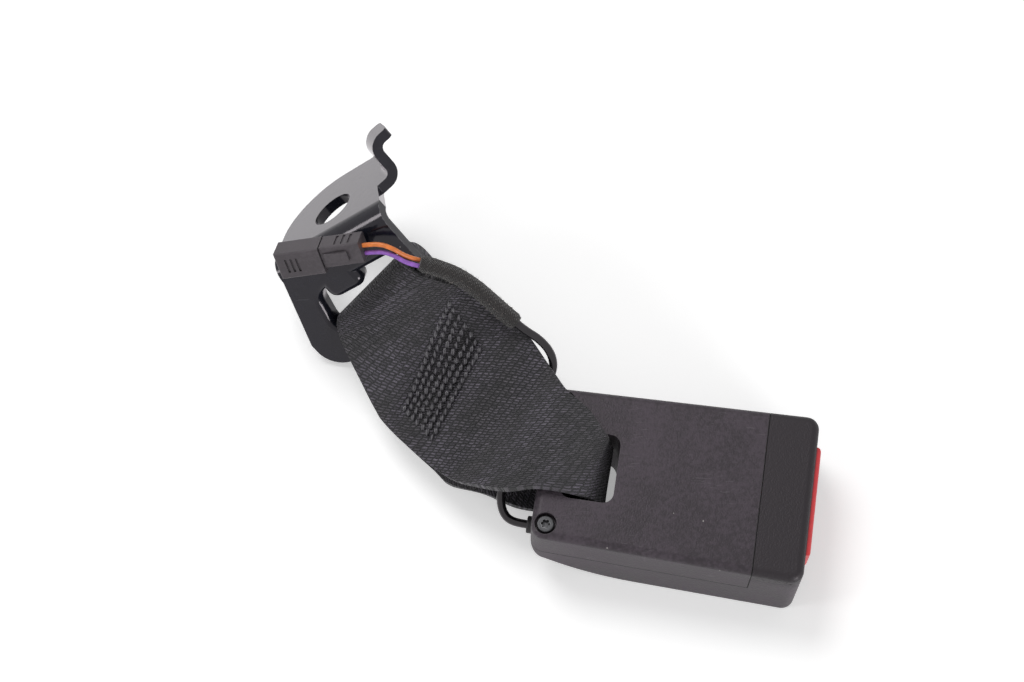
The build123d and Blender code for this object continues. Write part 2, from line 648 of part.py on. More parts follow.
def leads_route():
    """From the grommet's inner face to the back wall of the switch, square to both."""
    y, z = CABLE_ENTRY
    x0, x1 = GROMMET_LENGTH - CLEAR, REAR_RIB_X + RIB_T + 1
    return [(x0, y, z), (x0 + 5, y, z), (x0 + 14, y + 1.2, z - 3.6), (x1 - 8, y + 3.4, z - 5.8),
            (x1, y + 3.4, z - 5.8)]


def arcs_for(points):
    """Corner radii that use 0.45 of the shorter run beside each corner."""
    radii = []
    for a, b, c in zip(points, points[1:], points[2:]):
        first, second = Vector(b) - Vector(a), Vector(c) - Vector(b)
        turn = radians(first.get_angle(second))
        radii.append(0.45 * min(first.length, second.length) / tan(turn / 2))
    return radii


def tube(name, points, radius):
    """A round cord along straight runs joined by tangent arcs."""
    radii = arcs_for(points)
    path = FilletPolyline(*points, radius=radii)
    section = Plane(origin=path @ 0, z_dir=path % 0) * Circle(radius)
    cord = sweep(section, path=path)
    share = cord.volume / (section.area * path.length)
    radii = [round(r, 1) for r in radii]
    print(name, "length", round(path.length, 1), "radii", radii, "volume share", round(share, 4))
    return cord


# ================================================================ anchor bracket
def bar_bracket_slot(grow=0.0):
    """The webbing slot of the bracket: a four-sided opening with a lobe left standing at its top."""
    top, low = -STRAP_SLOT_TOP, -STRAP_SLOT_TOP - STRAP_SLOT_HEIGHT
    right, left = -STRAP_SLOT_RIGHT, -STRAP_SLOT_RIGHT - STRAP_SLOT_LENGTH
    face = make_face(Polyline((right - 0.6, top), (right, low), (left, low), (left + STRAP_SLOT_SLANT, top),
                              close=True))
    face = fillet(face.vertices(), STRAP_SLOT_R)
    x1, x0 = -LOBE_RIGHT, -LOBE_RIGHT - LOBE_WIDTH
    lobe = Pos((x0 + x1) / 2, top + 2) * Rectangle(LOBE_WIDTH, 4 + 2 * LOBE_DROP)
    face -= fillet(lobe.vertices().group_by(Axis.Y)[0], LOBE_CORNER_R)
    return offset(face, grow) if grow else face


def slot_flange():
    """Plate that the webbing hangs in, with a rolled lip round its slot."""
    side, end = -BEND_LENGTH, -SLOT_FLANGE_LENGTH
    wide = side - SLOT_FLANGE_FLARE
    plate = make_face(Polyline((0, -BEND_R), (0, end), (wide, end), (wide, end + 10.5), (side, -BEND_R),
                               close=True))
    corners = plate.vertices().group_by(Axis.Y)[0].sort_by(Axis.X)
    plate = fillet(corners[0], SLOT_FLANGE_CORNER_R)
    corners = plate.vertices().group_by(Axis.Y)[0].sort_by(Axis.X)
    plate = fillet(corners[-1], 6.0)
    solid = extrude(plate, -PLATE_T)
    solid += extrude(bar_bracket_slot(LIP_WIDTH), -PLATE_T - LIP_DROP)
    solid -= Pos(0, 0, -PLATE_T - LIP_DROP - 1) * extrude(bar_bracket_slot(), 20)
    rim = solid.faces().sort_by(Axis.Z)[-1].inner_wires()[0].edges()
    solid = fillet(rim, LIP_ROLL_R)
    x, y = clip_hole()
    return solid - Pos(x, y, -PLATE_T / 2) * Cylinder(CLIP_HOLE_R, PLATE_T + 1)


def clip_hole():
    """Place of the connector clip's hole in the slot flange."""
    place = CONNECTOR_AT * Pos(*CLIP_AT)
    return place.position.X, place.position.Y


def bend():
    """Quarter ring between the two flanges."""
    inside = BEND_R - PLATE_T
    edges = CenterArc((0, 0), BEND_R, 0, 90) + CenterArc((0, 0), inside, 0, 90)
    edges += Line((inside, 0), (BEND_R, 0)) + Line((0, inside), (0, BEND_R))
    arc = make_face(Pos(-BEND_R, -BEND_R) * edges)
    return Pos(-BEND_LENGTH, 0, 0) * extrude(Plane.YZ * arc, BEND_LENGTH)


def bolt_flange():
    """Plate for the anchor bolt, standing square to the slot flange and rounded about its hole."""
    end = BOLT_R + BOLT_MARGIN
    bolt = (-BOLT_FROM_SIDE, BOLT_FROM_BEND)
    far = BOLT_FLANGE_LENGTH
    outline = Polyline((bolt[0] - end, bolt[1]), (-BEND_LENGTH, BEND_R), (0, BEND_R), (-3.5, 15), (-4.5, 30),
                       (-8, far), (bolt[0], bolt[1] + end))
    rounding = CenterArc(bolt, end, 90, 90)
    face = make_face(outline + rounding)
    toe = face.vertices().sort_by_distance((-8, far, 0))[0]
    face = fillet(toe, 3.0)
    face -= Pos(*bolt) * Circle(BOLT_R)
    wall = extrude(Plane(origin=(0, 0, 0), x_dir=(1, 0, 0), z_dir=(0, 1, 0)) * face, -PLATE_T)
    return wall


def tab():
    """Joggled strip that stops the bracket turning about its bolt."""
    run = Vector(cos(radians(TAB_ANGLE)), 0, -sin(radians(TAB_ANGLE)))
    across = Vector(sin(radians(TAB_ANGLE)), 0, cos(radians(TAB_ANGLE)))
    t = PLATE_T
    root, up, tip = TAB_REACH + t / 2, TAB_RISE - t, TAB_REACH + TAB_TIP
    face = make_face(Polyline((-4, -t), (root, -t), (root, up), (tip, up), (tip, up + t), (root - t, up + t),
                              (root - t, 0), (-4, 0), close=True))
    tight = [v for v in face.vertices() if (v.X, v.Y) in ((root - t, 0), (root, up))]
    face = fillet(tight, TAB_BEND_R - t / 2)
    wide = [v for v in face.vertices() if abs(v.X - root) + abs(v.Y + t) < 0.01
            or abs(v.X - root + t) + abs(v.Y - up - t) < 0.01]
    face = fillet(wide, TAB_BEND_R + t / 2)
    place = Plane(origin=(-TAB_ROOT[0], 0, -TAB_ROOT[1]), x_dir=run, z_dir=across)
    strip = extrude(place * face, amount=TAB_WIDTH / 2, both=True)
    end = strip.faces().sort_by(Axis(place.origin, run))[-1]
    corners = [e for e in end.edges() if abs(e.tangent_at(0.5).dot(place.y_dir)) > 0.9]
    return fillet(corners, 1.6)


def anchor_bracket():
    return slot_flange() + bend() + bolt_flange() + tab()


# ================================================================ connector
def connector_clip():
    """Pad under the connector with a barbed peg through the slot flange."""
    x, y = CLIP_AT
    pad = block(SOCKET_START + 2, PLUG_END - 2, SOCKET_SIDES[0] - 1.4, SOCKET_SIDES[1] - 2, 0, CLIP_T)
    pad = fillet(pad.edges().filter_by(Axis.Z), 1.2)
    peg = Pos(x, y, -PLATE_T / 2) * Cylinder(CLIP_HOLE_R - RUN, PLATE_T + 0.2)
    head = Pos(x, y, -PLATE_T - 1.2) * Cone(1.4, CLIP_HEAD_R, 2.2)
    return pad + peg + head


def connector_socket():
    """Half-open box with grooved sides; the plug goes in at its +x end."""
    y0, y1 = SOCKET_SIDES
    body = block(SOCKET_START, SOCKET_END, y0, y1, CLIP_T, SOCKET_TOP)
    back_edges = body.faces().sort_by(Axis.X)[0].edges().filter_by(Axis.Y)
    body = fillet(body.edges().filter_by(Axis.X) + back_edges, 0.6)
    nose = SOCKET_END - PLUG_NOSE
    body -= block(nose - PLUG_FIT, SOCKET_END + 1, *plug_nose_sides(PLUG_FIT), *plug_nose_heights(PLUG_FIT))
    for z in (2.6, 4.4):
        body -= block(SOCKET_START + 1.2, SOCKET_END - 1.2, y0 - 1, y0 + 0.5, z, z + 0.7)
    for x in (-9.5, -7.9, -6.3):
        body -= block(x, x + 0.7, y0 + 2, y1 - 2, SOCKET_TOP - 0.4, SOCKET_TOP + 1)
    for y in pin_places():
        body -= Pos(nose - 1.6, y, pin_height()) * Rot(0, 90, 0) * Cylinder(PIN_R + RUN, 3.2)
    return body


def plug_nose_sides(grow=0.0):
    y0, y1 = SOCKET_SIDES
    return y0 + SOCKET_WALL - grow + PLUG_FIT, y1 - SOCKET_WALL + grow - PLUG_FIT


def plug_nose_heights(grow=0.0):
    return CLIP_T + SOCKET_WALL - grow + PLUG_FIT, SOCKET_TOP - SOCKET_WALL + grow - PLUG_FIT


def pin_height():
    return (CLIP_T + SOCKET_TOP) / 2


def pin_places():
    middle = sum(SOCKET_SIDES) / 2
    return [middle - PIN_PITCH / 2, middle + PIN_PITCH / 2]


def connector_plug():
    """Plug with a nose inside the socket, a finger latch on top and two wire outlets."""
    y0, y1 = PLUG_SIDES
    body = block(SOCKET_END + 0.2, PLUG_END, y0, y1, CLIP_T, PLUG_TOP)
    body = fillet(body.edges().filter_by(Axis.X), 0.6)
    nose = SOCKET_END - PLUG_NOSE
    body += block(nose, SOCKET_END + 0.4, *plug_nose_sides(), *plug_nose_heights())
    middle = (y0 + y1) / 2
    x, z = SOCKET_END, PLUG_TOP
    arm = make_face(Polyline((x + 1, z - 0.2), (x + 8, z - 0.2), (x + 8, z + 0.8), (x + 5.6, z + 0.8),
                             (x + 1, z + 0.3), close=True))
    body += Pos(0, middle, 0) * side_cut(arm, 3.0)
    for y in (y0, y1):
        for x in (5.4, 7.4, 9.4):
            body -= block(x, x + 0.8, y - 0.3, y + 0.3, CLIP_T + 1, PLUG_TOP - 1)
    for y in pin_places():
        body -= Pos(nose + 2, y, pin_height()) * Rot(0, 90, 0) * Cylinder(PIN_R + RUN, 5)
    return body


def contact_pins():
    """Two pins held in the socket's back wall that reach into the plug."""
    x0 = SOCKET_END - PLUG_NOSE
    return [Pos(x0 + 0.5, y, pin_height()) * Rot(0, 90, 0) * Cylinder(PIN_R, 7) for y in pin_places()]


# ================================================================ webbing
def from_bracket(point):
    return BRACKET_PLANE.from_local_coords(Vector(point))


def from_buckle(point):
    return BUCKLE_PLANE.from_local_coords(Vector(point))


def loop_point(along, forward, up):
    """A point near the bracket's bar: along it, and forward and up in the strap's own direction."""
    lean = radians(LOOP_ANGLE)
    out = BAR_AXIS[0] + forward * cos(lean) - up * sin(lean)
    height = BAR_AXIS[1] + forward * sin(lean) + up * cos(lean)
    return from_bracket((along, -out, height))


def loop_stations(angles):
    """Sections round the bar; angle 0 is the loop's far end, 90 its upper side, -90 its lower side."""
    left, right = LOOP_SIDES
    stations = []
    for a in angles:
        back, up = cos(radians(a)), LOOP_R * sin(radians(a))
        near, far = loop_point(left, -LOOP_R * back, up), loop_point(right, -LOOP_REACH * back, up)
        stations.append((near, far, FOLDED_T))
    return stations


def under_bar_station():
    """Keeps the lower layer below the bar until it is past the bar's corner."""
    left, right = LOOP_SIDES
    return (loop_point(left, 3.0, -LOOP_R + 1.1), loop_point(right + 4.2, 2.8, -LOOP_R), FOLDED_T)


def lowered(left, right, ahead, depth):
    """Both edges moved down, square to the band, by depth."""
    normal = (right - left).cross(ahead).normalized()
    if normal.Z > 0:
        normal = -normal
    return left + normal * depth, right + normal * depth


def middle_stations(stations, below=0.0):
    """Stations on a top surface turned into stations on the layer's middle."""
    middles = [(Vector(a) + Vector(b)) / 2 for a, b, t in stations]
    done = []
    for i, (a, b, t) in enumerate(stations):
        ahead = middles[min(i + 1, len(middles) - 1)] - middles[max(i - 1, 0)]
        done.append((*lowered(Vector(a), Vector(b), ahead, t / 2 + below), t))
    return done


def band(stations):
    """A strip through sections that span from a left to a right edge; the end stations only steer it."""
    middles = [(a + b) / 2 for a, b, t in stations]
    sections = []
    for before, (a, b, t), after in zip(middles, stations[1:-1], middles[2:]):
        across = (b - a).normalized()
        ahead = after - before
        plane = Plane(origin=(a + b) / 2, x_dir=across, z_dir=ahead - across * ahead.dot(across))
        sections.append(plane * Rectangle((b - a).length, t))
    return loft(sections, ruled=True)


def buckle_stations(stations):
    return [(from_buckle(a), from_buckle(b), t) for a, b, t in stations]


def upper_middles():
    top = [(Vector(a), Vector(b), t) for a, b, t in STRAP_STATIONS]
    return middle_stations(top + buckle_stations(BUCKLE_STATIONS))


def lower_middles():
    sewn = [(Vector(a), Vector(b), SEWN_T) for a, b, t in STRAP_STATIONS[:3]]
    fork = middle_stations(sewn, WEBBING_T + FORK_GAP)[:1]
    sewn = middle_stations(sewn, WEBBING_T + LAYER_GAP)[1:]
    return fork + sewn + middle_stations(buckle_stations(UNDER_STATIONS))


def upper_layer():
    """From the far end of the bracket's loop, over the bar and the buckle's face, into the buckle's slot."""
    ends = buckle_stations((SLOT_APEX,)) + lower_middles()[-1:]
    return band(loop_stations((-30, 0, 30, 60, 90)) + upper_middles() + ends)


def lower_layer():
    """The same under the bar, with the sewn overlap, up to the same point in the buckle's slot."""
    ends = buckle_stations((SLOT_APEX,)) + upper_middles()[-1:]
    return band(loop_stations((30, 0, -30, -60, -90)) + [under_bar_station()] + lower_middles() + ends)


# ================================================================ harness
def sleeve():
    return tube("harness_sleeve", [Vector(p) for p in SLEEVE_ROUTE], SLEEVE_R)


def sensor_cable():
    """From the sleeve's end to the collar of the buckle's grommet."""
    y, z = CABLE_ENTRY
    before, end = Vector(SLEEVE_ROUTE[-2]), Vector(SLEEVE_ROUTE[-1])
    points = [end, end + (end - before).normalized() * 3.0] + [Vector(p) for p in CABLE_BEND]
    points += [from_buckle(p) for p in CABLE_IN_BUCKLE + ((-CLEAR - COLLAR_T, y, z),)]
    return tube("sensor_cable", points, CABLE_R)


def wire(name, place, side):
    """One insulated wire from the plug's end face to the sleeve's end face."""
    from_connector = Plane(BRACKET_PLANE.location * CONNECTOR_AT)
    start = from_connector.from_local_coords(Vector(PLUG_END, pin_places()[place], pin_height()))
    lead = from_connector.from_local_coords(Vector(PLUG_END + 4.5, pin_places()[place], pin_height()))
    over = Vector(PLUG_END + 8.5, pin_places()[place] - 2.2, pin_height() + 0.4)
    crest = from_connector.from_local_coords(over)
    first, second = Vector(SLEEVE_ROUTE[0]), Vector(SLEEVE_ROUTE[1])
    into = (second - first).normalized()
    offset_by = into.cross(Vector(0, 0, 1)).normalized() * side * 0.9
    end = first + offset_by
    return tube(name, [start, lead, crest, end - into * 4.0, end], WIRE_R)


def switch_leads():
    return tube("switch_leads", leads_route(), LEADS_R)


# ================================================================ assembly
def bracket_nodes():
    left_pin, right_pin = contact_pins()
    on_flange = {"connector_clip": connector_clip(), "connector_socket": connector_socket(),
                 "connector_plug": connector_plug(),
                 "contact_pin_left": left_pin, "contact_pin_right": right_pin}
    nodes = {name: CONNECTOR_AT * shape for name, shape in on_flange.items()}
    nodes["anchor_bracket"] = anchor_bracket()
    return {name: BRACKET_PLANE.location * shape for name, shape in nodes.items()}


def buckle_nodes():
    housing = hollow_housing()
    screws, springs = cover_screws(), button_springs()
    nodes = {"rear_cover": rear_cover(housing), "front_shell": front_shell(housing),
             "buckle_frame": frame_plate(), "latch": latch(), "latch_pin": latch_pin(),
             "latch_spring": latch_spring(), "lock_bar": lock_bar(), "ejector": ejector(),
             "ejector_spring": ejector_spring(), "release_button": release_button(),
             "button_spring_left": springs[0], "button_spring_right": springs[1],
             "cover_screw_left": screws[0], "cover_screw_right": screws[1],
             "switch_housing": switch_housing(), "sensor_board": sensor_board(),
             "sensor_magnet": sensor_magnet_at(), "cable_grommet": grommet(), "switch_leads": switch_leads()}
    return {name: BUCKLE_PLANE.location * shape for name, shape in nodes.items()}


def strap_nodes():
    return {"webbing_upper": upper_layer(), "webbing_lower": lower_layer(), "harness_sleeve": sleeve(),
            "sensor_cable": sensor_cable(), "orange_wire": wire("orange_wire", 1, -1),
            "purple_wire": wire("purple_wire", 0, 1)}


def all_nodes():
    """Every node in the shared frame: origin under the middle of the whole assembly's box."""
    nodes = {**bracket_nodes(), **buckle_nodes(), **strap_nodes()}
    box = Compound(children=[Compound(shape.solids()) for shape in nodes.values()]).bounding_box()
    shift = Pos(-(box.min.X + box.max.X) / 2, -(box.min.Y + box.max.Y) / 2, -box.min.Z)
    print("shift", [round(v, 4) for v in shift.position], "size", [round(v, 2) for v in box.size])
    return {name: shift * shape for name, shape in nodes.items()}


os.makedirs("parts", exist_ok=True)
for name, shape in all_nodes().items():
    export_step(shape, f"parts/{name}.step")
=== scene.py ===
import json
import math
import random
import bmesh
import bpy
from mathutils import Matrix, Vector


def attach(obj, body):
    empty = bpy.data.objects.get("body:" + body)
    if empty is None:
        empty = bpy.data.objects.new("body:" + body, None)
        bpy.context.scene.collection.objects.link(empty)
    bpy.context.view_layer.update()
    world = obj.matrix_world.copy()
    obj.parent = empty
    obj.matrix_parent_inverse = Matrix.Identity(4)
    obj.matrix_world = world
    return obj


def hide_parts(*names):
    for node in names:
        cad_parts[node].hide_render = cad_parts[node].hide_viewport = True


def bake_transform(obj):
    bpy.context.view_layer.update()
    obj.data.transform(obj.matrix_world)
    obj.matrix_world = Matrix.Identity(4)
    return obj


# A seat belt buckle on its sewn webbing loop, with the anchor bracket and the switch harness.
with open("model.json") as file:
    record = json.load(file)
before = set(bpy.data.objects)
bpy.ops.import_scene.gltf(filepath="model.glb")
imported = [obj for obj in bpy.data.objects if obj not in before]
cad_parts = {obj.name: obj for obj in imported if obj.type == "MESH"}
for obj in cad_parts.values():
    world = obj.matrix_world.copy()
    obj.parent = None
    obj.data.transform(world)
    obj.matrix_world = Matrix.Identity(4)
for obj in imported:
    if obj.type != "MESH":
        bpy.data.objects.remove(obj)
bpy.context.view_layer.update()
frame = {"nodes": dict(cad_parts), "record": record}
bpy.ops.object.select_all(action="DESELECT")

MM = 0.001
# middle of the whole part in the drawing frame of the strap and harness, millimetres
FRAME_SHIFT = Vector((-8.803, 17.03, 0.0))
# the buckle's own frame: millimetres in the drawing frame, and metres in the row frame
BUCKLE_CORNER = Vector((7.9, -45.9, 0.0))
BUCKLE_TURN = Matrix.Rotation(math.radians(-8.8), 4, "Z")
BUCKLE_PLACE = Matrix.Translation(BUCKLE_CORNER) @ BUCKLE_TURN
BUCKLE_IN_ROW = Matrix.Translation((BUCKLE_CORNER + FRAME_SHIFT) * MM) @ BUCKLE_TURN
PARTING_HEIGHT = 13.0        # where the two housing mouldings meet
RING_START = 60.35           # the end ring's rear edge, along the housing
RING_SHADE_FADE = (17.0, 24.0)     # heights between which the painted shade on the end ring's top face fades in


def in_row(point):
    """A point of the strap's drawing frame, in metres in the row frame."""
    return (Vector(point) + FRAME_SHIFT) * MM


def on_buckle(point):
    """A point of the buckle's own frame, in metres in the row frame."""
    return in_row(BUCKLE_PLACE @ Vector(point))


# ---------------------------------------------------------------- shorthand for nodes
def new_material(name):
    mat = bpy.data.materials.new(name)
    mat.use_nodes = True
    nodes, links = mat.node_tree.nodes, mat.node_tree.links
    return mat, nodes, links, nodes["Principled BSDF"]


def math_node(nodes, links, operation, first, second=None, third=None):
    """A math node fed by sockets or plain numbers; returns its output socket."""
    node = nodes.new("ShaderNodeMath")
    node.operation = operation
    for socket, value in zip(node.inputs, (first, second, third)):
        if isinstance(value, bpy.types.NodeSocket):
            links.new(value, socket)
        elif value is not None:
            socket.default_value = value
    return node.outputs[0]


def noise_node(nodes, links, vector, scale, detail=2.0, roughness=0.5):
    """A noise texture; scale is a number or a socket."""
    node = nodes.new("ShaderNodeTexNoise")
    links.new(vector, node.inputs["Vector"])
    if isinstance(scale, bpy.types.NodeSocket):
        links.new(scale, node.inputs["Scale"])
    else:
        node.inputs["Scale"].default_value = scale
    node.inputs["Detail"].default_value = detail
    node.inputs["Roughness"].default_value = roughness
    return node


def mapped(nodes, links, vector, turn=0.0, scale=(1.0, 1.0, 1.0)):
    """The vector turned about z by degrees, and scaled."""
    node = nodes.new("ShaderNodeMapping")
    node.inputs["Rotation"].default_value = (0.0, 0.0, math.radians(turn))
    node.inputs["Scale"].default_value = scale
    links.new(vector, node.inputs["Vector"])
    return node.outputs["Vector"]


def raise_surface(nodes, links, shader, height, distance, strength=1.0):
    """A bump on the shader's normal, distance in millimetres."""
    bump = nodes.new("ShaderNodeBump")
    bump.inputs["Strength"].default_value = strength
    bump.inputs["Distance"].default_value = distance * MM
    links.new(height, bump.inputs["Height"])
    links.new(bump.outputs["Normal"], shader.inputs["Normal"])


# ---------------------------------------------------------------- camera, floor and light
CAMERA_PLACE = (-0.00880, -0.22913, 0.57992)
CAMERA_TILT = 23.0           # degrees from straight down
CAMERA_LENS = 75.94          # on a 36 mm sensor
WHITE = (1.0, 1.0, 1.0, 1.0)


def make_camera():
    bpy.ops.object.camera_add(location=CAMERA_PLACE, rotation=(math.radians(CAMERA_TILT), 0.0, 0.0))
    camera = bpy.context.object
    camera.name = "studio_camera"
    camera.data.sensor_width = 36.0
    camera.data.lens = CAMERA_LENS
    camera.data.clip_start = 0.01
    bpy.context.scene.camera = camera


def seen_directly(nodes, links):
    """1 for camera, glossy and transmission rays, 0 for light that only reaches the object."""
    path = nodes.new("ShaderNodeLightPath")
    either = math_node(nodes, links, "MAXIMUM", path.outputs["Is Camera Ray"], path.outputs["Is Glossy Ray"])
    return math_node(nodes, links, "MAXIMUM", either, path.outputs["Is Transmission Ray"])


def make_world(strength):
    """Even light of the given strength on the object, and a plain white behind it."""
    world = bpy.data.worlds.new("white_studio")
    world.use_nodes = True
    bpy.context.scene.world = world
    nodes, links = world.node_tree.nodes, world.node_tree.links
    nodes.clear()
    mix = nodes.new("ShaderNodeMixShader")
    links.new(seen_directly(nodes, links), mix.inputs["Fac"])
    for socket, level in ((mix.inputs[1], strength), (mix.inputs[2], 1.0)):
        glow = nodes.new("ShaderNodeBackground")
        glow.inputs["Color"].default_value = WHITE
        glow.inputs["Strength"].default_value = level
        links.new(glow.outputs[0], socket)
    out = nodes.new("ShaderNodeOutputWorld")
    links.new(mix.outputs[0], out.inputs["Surface"])


def make_floor(lift):
    """A pale matt plane that keeps the shadow; where it is seen directly, lift brings it up to white."""
    bpy.ops.mesh.primitive_plane_add(size=4.0, location=(0.0, 0.0, -0.0002))
    floor = bpy.context.object
    floor.name = "studio_floor"
    mat, nodes, links, shader = new_material("studio_floor")
    shader.inputs["Base Color"].default_value = (0.93, 0.93, 0.93, 1.0)
    shader.inputs["Roughness"].default_value = 0.9
    shader.inputs["Specular IOR Level"].default_value = 0.1
    shader.inputs["Emission Color"].default_value = WHITE
    glow = math_node(nodes, links, "MULTIPLY", seen_directly(nodes, links), lift)
    links.new(glow, shader.inputs["Emission Strength"])
    floor.data.materials.append(mat)


def make_lamp(name, place, size, power):
    """A round softbox, in metres and watts, aimed at the middle of the object."""
    bpy.ops.object.light_add(type="AREA", location=place)
    lamp = bpy.context.object
    lamp.name = name
    lamp.data.shape = "DISK"
    lamp.data.size = size
    lamp.data.energy = power
    lamp.rotation_euler = (-Vector(place)).to_track_quat("-Z", "Y").to_euler()


bpy.context.scene.view_settings.view_transform = "Standard"
make_camera()
make_world(strength=0.38)
make_floor(lift=0.34)
make_lamp("overhead_softbox", (-0.30, 0.40, 0.85), 0.45, 3.8)
make_lamp("left_softbox", (-0.90, -0.20, 0.42), 0.25, 1.6)
make_lamp("front_softbox", (0.62, -0.82, 0.18), 0.40, 5.0)


# ---------------------------------------------------------------- shared effects, as node groups
def new_group(name, inputs, outputs):
    """An empty shader group with its sockets; returns its tree, nodes, links and its two end nodes."""
    tree = bpy.data.node_groups.new(name, "ShaderNodeTree")
    for label, kind, value in inputs:
        socket = tree.interface.new_socket(name=label, in_out="INPUT", socket_type=kind)
        if value is not None:
            socket.default_value = value
    for label, kind in outputs:
        tree.interface.new_socket(name=label, in_out="OUTPUT", socket_type=kind)
    entry, leave = tree.nodes.new("NodeGroupInput"), tree.nodes.new("NodeGroupOutput")
    return tree, tree.nodes, tree.links, entry, leave


def ramp_between(nodes, links, value, low, high):
    """0 below low, 1 above high, smooth between."""
    node = nodes.new("ShaderNodeMapRange")
    node.interpolation_type = "SMOOTHSTEP"
    links.new(value, node.inputs["Value"])
    for label, limit in (("From Min", low), ("From Max", high)):
        if isinstance(limit, bpy.types.NodeSocket):
            links.new(limit, node.inputs[label])
        else:
            node.inputs[label].default_value = limit
    return node.outputs["Result"]


def grain_group():
    """Spark-eroded mould texture: small rounded pits of uneven size."""
    tree, nodes, links, entry, leave = new_group(
        "moulded_grain",
        [("Vector", "NodeSocketVector", None), ("Scale", "NodeSocketFloat", 2600.0)],
        [("Height", "NodeSocketFloat"), ("Tone", "NodeSocketFloat")])
    pits = nodes.new("ShaderNodeTexVoronoi")
    pits.feature = "SMOOTH_F1"
    pits.inputs["Smoothness"].default_value = 0.6
    vector, scale = entry.outputs["Vector"], entry.outputs["Scale"]
    links.new(vector, pits.inputs["Vector"])
    links.new(scale, pits.inputs["Scale"])
    cloud = noise_node(nodes, links, vector, math_node(nodes, links, "MULTIPLY", scale, 0.45), detail=3.0)
    broad = noise_node(nodes, links, vector, math_node(nodes, links, "MULTIPLY", scale, 0.03))
    height = math_node(nodes, links, "ADD", pits.outputs["Distance"],
                       math_node(nodes, links, "MULTIPLY", cloud.outputs["Fac"], 0.7))
    links.new(height, leave.inputs["Height"])
    fine = math_node(nodes, links, "MULTIPLY", cloud.outputs["Fac"], 0.55)
    mixed = math_node(nodes, links, "MULTIPLY_ADD", broad.outputs["Fac"], 0.45, fine)
    links.new(ramp_between(nodes, links, mixed, 0.38, 0.62), leave.inputs["Tone"])
    return tree


def edge_wear_group():
    """Where a sharp edge has been rubbed: the rounded normal turns away from the flat one."""
    tree, nodes, links, entry, leave = new_group(
        "edge_wear",
        [("Vector", "NodeSocketVector", None), ("Breakup", "NodeSocketFloat", 900.0)],
        [("Mask", "NodeSocketFloat")])
    rounded = nodes.new("ShaderNodeBevel")
    rounded.samples = 4
    rounded.inputs["Radius"].default_value = 0.35 * MM
    flat = nodes.new("ShaderNodeNewGeometry")
    across = nodes.new("ShaderNodeVectorMath")
    across.operation = "DOT_PRODUCT"
    links.new(rounded.outputs["Normal"], across.inputs[0])
    links.new(flat.outputs["Normal"], across.inputs[1])
    turned = math_node(nodes, links, "SUBTRACT", 1.0, across.outputs["Value"])
    patchy = noise_node(nodes, links, entry.outputs["Vector"], entry.outputs["Breakup"], detail=4.0)
    edge = ramp_between(nodes, links, turned, 0.02, 0.16)
    gaps = ramp_between(nodes, links, patchy.outputs["Fac"], 0.36, 0.62)
    links.new(math_node(nodes, links, "MULTIPLY", edge, gaps), leave.inputs["Mask"])
    return tree


def scratch_group():
    """Fine scuffs: stretched noise cut to thin lines, in loose patches."""
    tree, nodes, links, entry, leave = new_group(
        "fine_scuffs",
        [("Vector", "NodeSocketVector", None), ("Scale", "NodeSocketFloat", 220.0),
         ("Threshold", "NodeSocketFloat", 0.64)],
        [("Mask", "NodeSocketFloat")])
    stretched = mapped(nodes, links, entry.outputs["Vector"], turn=34.0, scale=(1.0, 11.0, 1.0))
    lines = noise_node(nodes, links, stretched, entry.outputs["Scale"], detail=6.0, roughness=0.7)
    where = noise_node(nodes, links, entry.outputs["Vector"], 70.0)
    upper = math_node(nodes, links, "ADD", entry.outputs["Threshold"], 0.05)
    thin = ramp_between(nodes, links, lines.outputs["Fac"], entry.outputs["Threshold"], upper)
    patch = ramp_between(nodes, links, where.outputs["Fac"], 0.48, 0.64)
    links.new(math_node(nodes, links, "MULTIPLY", thin, patch), leave.inputs["Mask"])
    return tree


def dust_group():
    """Pale specks of lint and dust, a few tenths of a millimetre across."""
    tree, nodes, links, entry, leave = new_group(
        "dust_specks",
        [("Vector", "NodeSocketVector", None), ("Scale", "NodeSocketFloat", 260.0),
         ("Size", "NodeSocketFloat", 0.05)],
        [("Mask", "NodeSocketFloat")])
    cells = nodes.new("ShaderNodeTexVoronoi")
    links.new(entry.outputs["Vector"], cells.inputs["Vector"])
    links.new(entry.outputs["Scale"], cells.inputs["Scale"])
    near = math_node(nodes, links, "LESS_THAN", cells.outputs["Distance"], entry.outputs["Size"])
    tone = nodes.new("ShaderNodeSeparateColor")
    links.new(cells.outputs["Color"], tone.inputs["Color"])
    few = math_node(nodes, links, "GREATER_THAN", tone.outputs["Red"], 0.72)
    links.new(math_node(nodes, links, "MULTIPLY", near, few), leave.inputs["Mask"])
    return tree


